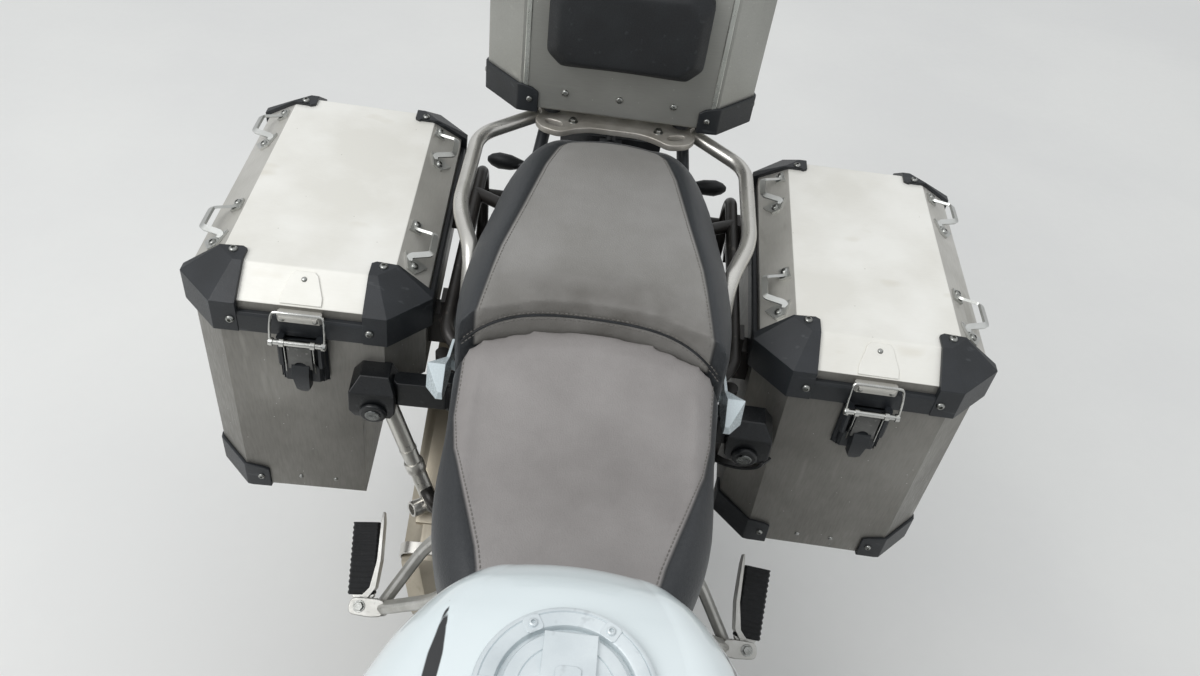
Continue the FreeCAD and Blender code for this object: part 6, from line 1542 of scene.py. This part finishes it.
# The frame tubes and levers: steel in dark grey paint, with a grey cast swingarm over the drive shaft.
# Pivot bolts, drain plugs and axle nuts are plated.
frame_paint = finish(  # dark grey with a low shine
    "dark_frame_paint", "#34363A", "#2B2D30", 0.2, 0.36, 80, 2, 0.03, scuffs=("#57595B", 16, 0.4, (1, 1, 0.5)),
)
arm_paint = finish(  # mid grey over a cast skin
    "cast_arm_paint", "#4B4D50", "#3F4144", 0.6, 0.42, 60, 1.5, 0.12, scuffs=("#77787A", 14, 0.35),
)
dress("frame", frame_paint)
dress("front_arm", arm_paint)
dress("swingarm", arm_paint)
drive = [((166, 40.6 * cos(t), 340 + 40.6 * sin(t)), (1, 0, 0), (0, 0, 1)) for t in angles(6)]
drive += [((152, 80 * cos(t), 340 + 80 * sin(t)), (1, 0, 0), (0, 0, 1)) for t in angles(8, 0.3)]
drive += [((150, -560, 430), (1, 0, 0), (0, 0, 1)), ((-112, -560, 430), (-1, 0, 0), (0, 0, 1))]
for sign in (1, -1):
    drive += [((sign * 98, y, z), (sign, 0, 0), (0, 0, 1)) for y, z in ((-575, 520), (-520, 440), (-470, 300), (-560,
            400))]
    drive += [((sign * 110, -1040, 560), (sign, 0, 0), (0, 0, 1))]
repeated("frame_bolts", ROW, drive, hex_bolt, "dark_paint", screw_steel, 0.85)
made("final_drive_rim", together(
    lathed([(86, 150), (92.6, 150), (93, 152), (90, 156), (62, 160), (58, 160)], across, 72),
    lathed([(44, 165), (50, 165), (50, 168), (46, 170), (22, 170), (18, 168)], across, 48),
), "dark_paint", engine_cast, edge=0.6, sharp=30, place=REAR)


# The spring legs: painted coil springs round steel dampers, between two eyes.
# Each coil is one bar swept round its damper.
spring_white = finish(  # off-white, chipped grey
    "painted_spring_steel", "#D8DADA", "#C4C7C8", 0.1, 0.34, 30, 1.6, 0.03, scuffs=("#9A9B9A", 9, 0.4),
)
coils, dampers = [], []
for low, high, wide, bar_r in (((0, -1110, 632), (0, -1052, 893), 24, 4.5), ((0, -430, 462), (0, -545, 776), 30, 5.5)):
    run = Vector(high) - Vector(low)
    leg = facing(low, run, (1, 0, 0))
    long = run.length
    turns = int((long - 84) / 27)
    helix = [leg @ Vector((wide * cos(t), wide * sin(t), 30 + (long - 76) * t / (2 * pi * turns)))
        for t in np.linspace(0, 2 * pi * turns, turns * 20)]
    coils.append(swept(helix, circle(bar_r, 10)))
    dampers.append(lathed([(0, 0), (13, 0), (13, 10), (wide + 4, 12), (wide + 5, 14), (wide + 5, 22), (wide, 26),
        (10, 27), (10, long / 2),
        (15, long / 2), (15, long - 44), (wide + 4, long - 43), (wide + 5, long - 40),
        (wide + 5, long - 6),
        (wide - 2, long), (0, long)], leg, 36))
made("shock_springs", together(*coils), "spring_steel", spring_white, "shocks")
made("shock_dampers", together(*dampers), "spring_steel", arm_paint, edge=0.8, sharp=30)


# The guards round the engine: a bent stainless tube each side, and a folded alloy plate under the sump.
plate_alloy = finish(  # pale with long brush lines and scrapes
    "brushed_skid_plate", "#B2B4B2", "#9C9E9C", 0.95, 0.4, 120, 1.8, 0.04, along=(1, 0.06, 1),
    scuffs=("#6C6A66", 22, 0.5, (1, 0.3, 1)),
)
dress("crash_bars", rail_steel)
finished("skid_plate", "brushed_alloy", plate_alloy, 1.2, 30)
clamps, screws = [], []
for sign in (1, -1):
    for spot, way in (((sign * 384, -990, 556), (0, 0, 1)), ((sign * 240, -1043, 695), (sign, -0.2, -0.9)),
            ((sign * 330, -759, 412), (1, 0.15 * sign, 0.42 * sign))):
        clamps.append(lathed([(12.4, -11), (15.5, -11), (16.5, -10), (16.5, 10), (15.5, 11), (12.4, 11)],
            facing(spot, way), 28))
    for y in (-990, -900, -810, -725):
        screws.append(((sign * 96, y, 216), (0, 0, -1)))
    screws.append(((sign * 90, -1049, 287), (0, -0.87, -0.5)))
made("crash_bar_clamps", together(*clamps), "stainless_steel", arm_paint, edge=0.6, sharp=30)
repeated("skid_plate_screws", ROW, screws, dome_screw, "stainless_steel", screw_steel)


# The radiators: finned cores in black moulded frames. Their hoses are left out.
# Geometry Nodes set the fins, eight millimetres apart, coarser than the real ones so that they show.
shroud = finish(  # grained blue-black
    "black_moulded_shroud", "#1F2225", "#181A1D", 0, 0.46, 60, 1.4, 0.12, scuffs=("#3A3D40", 12, 0.35),
)
core_alloy = finish("black_radiator_core", "#3B3D3F", "#2F3133", 0.7, 0.5, 20, 1.5, 0.05)  # dark grey fins
finished("radiators", "black_plastic", shroud, 2.0, 30)
fins = [((sign * 202, -1130 + 30 * k / 27.5 - 0.6, 632 + 7.9 * k), (0, -1, 0.13)) for sign in (1, -1)
        for k in range(27)]
repeated("radiator_fins", ROW, fins, block((-36, -1.6, -2), (36, 1.6, 2.6)), "black_plastic", core_alloy)


# The rear mudguard and number-plate carrier: grained black plastic; the plate itself is blank.
finished("rear_fender", "black_plastic", shroud, 2.0, 35)


# The stands and rider pegs: painted tube, with cast serrated pegs on sprung pins.
# Geometry Nodes set the teeth of each peg in two rows.
peg_steel = finish(  # grey and rough, worn darker
    "cast_rider_peg", "#9C9C99", "#858582", 0.9, 0.44, 24, 1.4, 0.12, scuffs=("#6B6A67", 8, 0.4),
)
finished("centre_stand", "black_metal", frame_paint, 1.0, 35, body="centre_stand")
finished("side_stand", "black_metal", frame_paint, 1.0, 35, body="side_stand")
finished("rider_peg_brackets", "peg_alloy", arm_paint, 1.0, 35)
for side, sign in (("left", 1), ("right", -1)):
    finished("rider_peg_" + side, "peg_alloy", peg_steel, 1.2, 35, body="rider_peg_" + side)
    teeth = [((sign * (204 + x), -590 + y, 352), (0, 0, 1), (1, 0, 0)) for x in range(16, 108, 9) for y in (-16, 16)]
    repeated("rider_peg_teeth_" + side, ROW, teeth, lofted([
        [(-3.6, -5, -1), (3.6, -5, -1), (3.6, 5, -1), (-3.6, 5, -1)],
                [(-0.8, -4, 5), (0.8, -4, 5), (0.8, 4, 5), (-0.8, 4, 5)],
    ]), "peg_alloy", peg_steel, body="rider_peg_" + side)


# The front: a black cockpit carrier with a blank glass instrument, and a double headlight in a black shell.
# The lens is clear and moulded; two bright bowls sit behind it.
display_glass = finish(  # black mirror
    "dark_display_glass", "#0E1216", "#0B0E12", 0, 0.08, 60, 3, 0.005, Coat_Weight=0.6,
)
lamp_bright = finish("bright_lamp_bowl", "#D6D8DA", "#C4C6C8", 1.0, 0.12, 20, 3.0, 0.01)  # silvered bowl
lens_clear = finish(  # clear moulding with a slight ripple
    "clear_lamp_lens", "#E9EEF0", "#E2E8EA", 0, 0.04, 60, 9.0, 0.02, swing=0.02, Transmission_Weight=0.94,
)
screen_clear = finish(  # clear and smooth, faintly blue
    "clear_screen_acrylic", "#E4EAEE", "#DBE2E7", 0, 0.05, 200, 30, 0.0, swing=0.02, Transmission_Weight=0.92,
)
finished("cockpit", "black_plastic", shroud, 3.0, 25)
panel = facing((0, -1229.5, 1156), (0, 0.99, -0.14), (1, 0, 0))
made("instrument_bezel", together(put(lofted([
    [(x, y, -4) for x, y in rounded([(-100, -30), (100, -30), (100, 30), (-100, 30)], 14)],
    [(x, y, 5) for x, y in rounded([(-98, -28), (98, -28), (98, 28), (-98, 28)], 14)],
]), panel)), "black_plastic", stalk_black, edge=1.5, sharp=30)
made("instrument_glass", together(*[put(lofted([
    [(x + shift, y, 4) for x, y in rounded([(-w, -23), (w, -23), (w, 23), (-w, 23)], 10)],
    [(x + shift, y, 6) for x, y in rounded([(-w + 1, -22), (w - 1, -22), (w - 1, 22), (1 - w, 22)], 10)],
]), panel) for shift, w in ((-62, 28), (32, 58))]), "black_plastic", display_glass, sharp=30)


def six(y, w, low, high):
    """The headlight's outline at one place along it."""
    return [(-w, y, low), (w, y, low), (w + 8, y, (low + high) / 2), (w, y, high), (-w, y, high),
            (-w - 8, y, (low + high) / 2)]


shell = lofted([six(-1312, 80, 905, 1050), six(-1388, 99, 889, 1041), six(-1392, 92, 897, 1034),
    six(-1376, 84, 904, 1026)])
made("headlight_shell", shell, "lamp_glass", shroud, "headlight", edge=2.0, sharp=25)
made("headlight_lens", lofted([six(-1384, 94, 894, 1036), six(-1396, 93, 895, 1034), six(-1416, 82, 904, 1019),
                               six(-1413, 80, 906, 1017),
                               six(-1394, 90, 898, 1030), six(-1386, 91, 897, 1032)]),
     "lamp_glass", lens_clear, edge=1.5, sharp=25)
bowl = [(37, -1), (37, 2), (35, 2), (30.34, -8), (20.35, -14), (8, -16), (6, -4), (0, -3)]
bowls = [lathed(bowl, facing((x, -1394, 962), (0, -1, 0)), 48) for x in (-42, 42)]
made("headlight_bowls", together(*bowls), "lamp_glass", lamp_bright, sharp=40)
finished("beak", "white_paint", guard_paint, 3.0, 20)
dress("windscreen", screen_clear)
repeated("screen_screws", ROW, [((sign * 70, -1332, 1104), (0, -1, 0.2)) for sign in (1, -1)],
    dome_screw, "black_plastic", screw_steel, 1.5)


# The handlebar: a black tapered tube on two risers, with ribbed grips, switch boxes, levers and mirrors.
# Everything here steers with the fork.
bar_black = finish(  # satin black, rubbed grey
    "black_bar_paint", "#222427", "#1B1D1F", 0.3, 0.34, 60, 1.8, 0.03, scuffs=("#505255", 10, 0.3, (0.4, 1, 1)),
)
grip_rubber = finish(  # dull black
    "ribbed_grip_rubber", "#1D1E20", "#151617", 0, 0.75, 30, 1.3, 0.15, scuffs=("#333436", 8, 0.4),
)
lever_alloy = finish(  # dark satin metal, rubbed paler
    "satin_lever_alloy", "#3E4043", "#323437", 0.8, 0.3, 30, 1.6, 0.02, scuffs=("#8C8D8E", 9, 0.4),
)
mirror_glass = finish("silvered_mirror_glass", "#D9DDE0", "#CDD2D5", 1.0, 0.04, 80, 20.0, 0.0, swing=0.01)  # silvered
dress("handlebar", bar_black)
finished("hand_guards", "black_plastic", shroud, 1.6, 30, body="steering")
grips, boxes, levers, glasses, keys = [], [], [], [], []
for sign in (1, -1):
    inner, outer = Vector((sign * 330, -964.4, 1187.4)), Vector((sign * 450, -921.3, 1179.9))
    along = facing(inner, outer - inner)
    long = (outer - inner).length
    ribs = [(11, 0), (19, 0), (19, 4)]
    for k in range(18):
        ribs += [(16.9, 6 + k * 6), (16.9, 9 + k * 6), (15.7, 9.6 + k * 6), (15.7, 11.4 + k * 6)]
    grips.append(lathed(ribs + [(17, long - 4), (15, long), (0, long)], along, 28))
    near = Vector((sign * 268, -1006, 1183))
    box = facing(near, inner - near)
    far = (inner - near).length
    boxes.append(put(lofted([[(x * k, y * k, z) for x, y in rounded([(-21, -17), (21, -17), (21, 17), (-21, 17)], 9)]
                for z, k in ((0, 0.7), (6, 0.98), (far - 14, 1.0), (far - 3, 0.95), (far - 1, 0.85))]),
        box))
    for z in (18, 34, 50):
        keys.append(put(block((-7, 16, z - 5), (7, 20, z + 5), 1.5), box))
    boxes.append(swept(softened([(sign * 284, -996, 1196), (sign * 300, -1002, 1250), (sign * 352, -1030, 1320)], 20),
        circle(6, 14)))
    lever = softened([(sign * 290, -1008, 1184), (sign * 312, -1050, 1180), (sign * 380, -1022, 1176),
        (sign * 446, -992, 1172)], 16)
    levers.append(swept(lever, [(6.5 * cos(t), 4.5 * sin(t)) for t in angles(14)]))
    levers.append(lathed([(0, -6), (7, -6), (8, 0), (7, 6), (0, 6)], facing((sign * 446, -992, 1172), (0.8 * sign, 0.5,
            -0.1)), 20))

    def face(y, k, grow=1.0):
        """The mirror head's outline, drawn in by k."""
        ring = [(-62 + k, -24), (-40, -42 + k), (44, -38 + k), (64 - k, -10), (56 - k, 36 - k), (-30, 40 - k),
                (-60 + k, 18)]
        return [(sign * (390 + a * grow), y, 1340 + b * grow) for a, b in rounded(ring, 14, 3)]

    boxes.append(lofted([face(-1034, 5), face(-1032, 1), face(-1036, 0), face(-1046, 1), face(-1058, 12),
        face(-1062, 22)]))
    glasses.append(lofted([face(-1034, 3, 0.9), face(-1031.4, 3, 0.9)]))
    levers.append(lathed([(0, 0), (15, 0), (16, 2), (16, 12), (12, 16), (0, 17)], facing(outer, outer - inner), 24))
made("grips", together(*grips), "black_plastic", grip_rubber, "bar_controls", sharp=40, body="steering")
made("switch_boxes_and_mirrors", together(*boxes), "black_plastic", shroud, edge=1.2, sharp=30, body="steering")
made("switch_keys", together(*keys), "black_plastic", lever_alloy, edge=0.6, sharp=30, body="steering")
made("levers_and_bar_ends", together(*levers), "black_plastic", lever_alloy, sharp=35, body="steering")
made("mirror_glass", together(*glasses), "black_plastic", mirror_glass, sharp=30, body="steering")
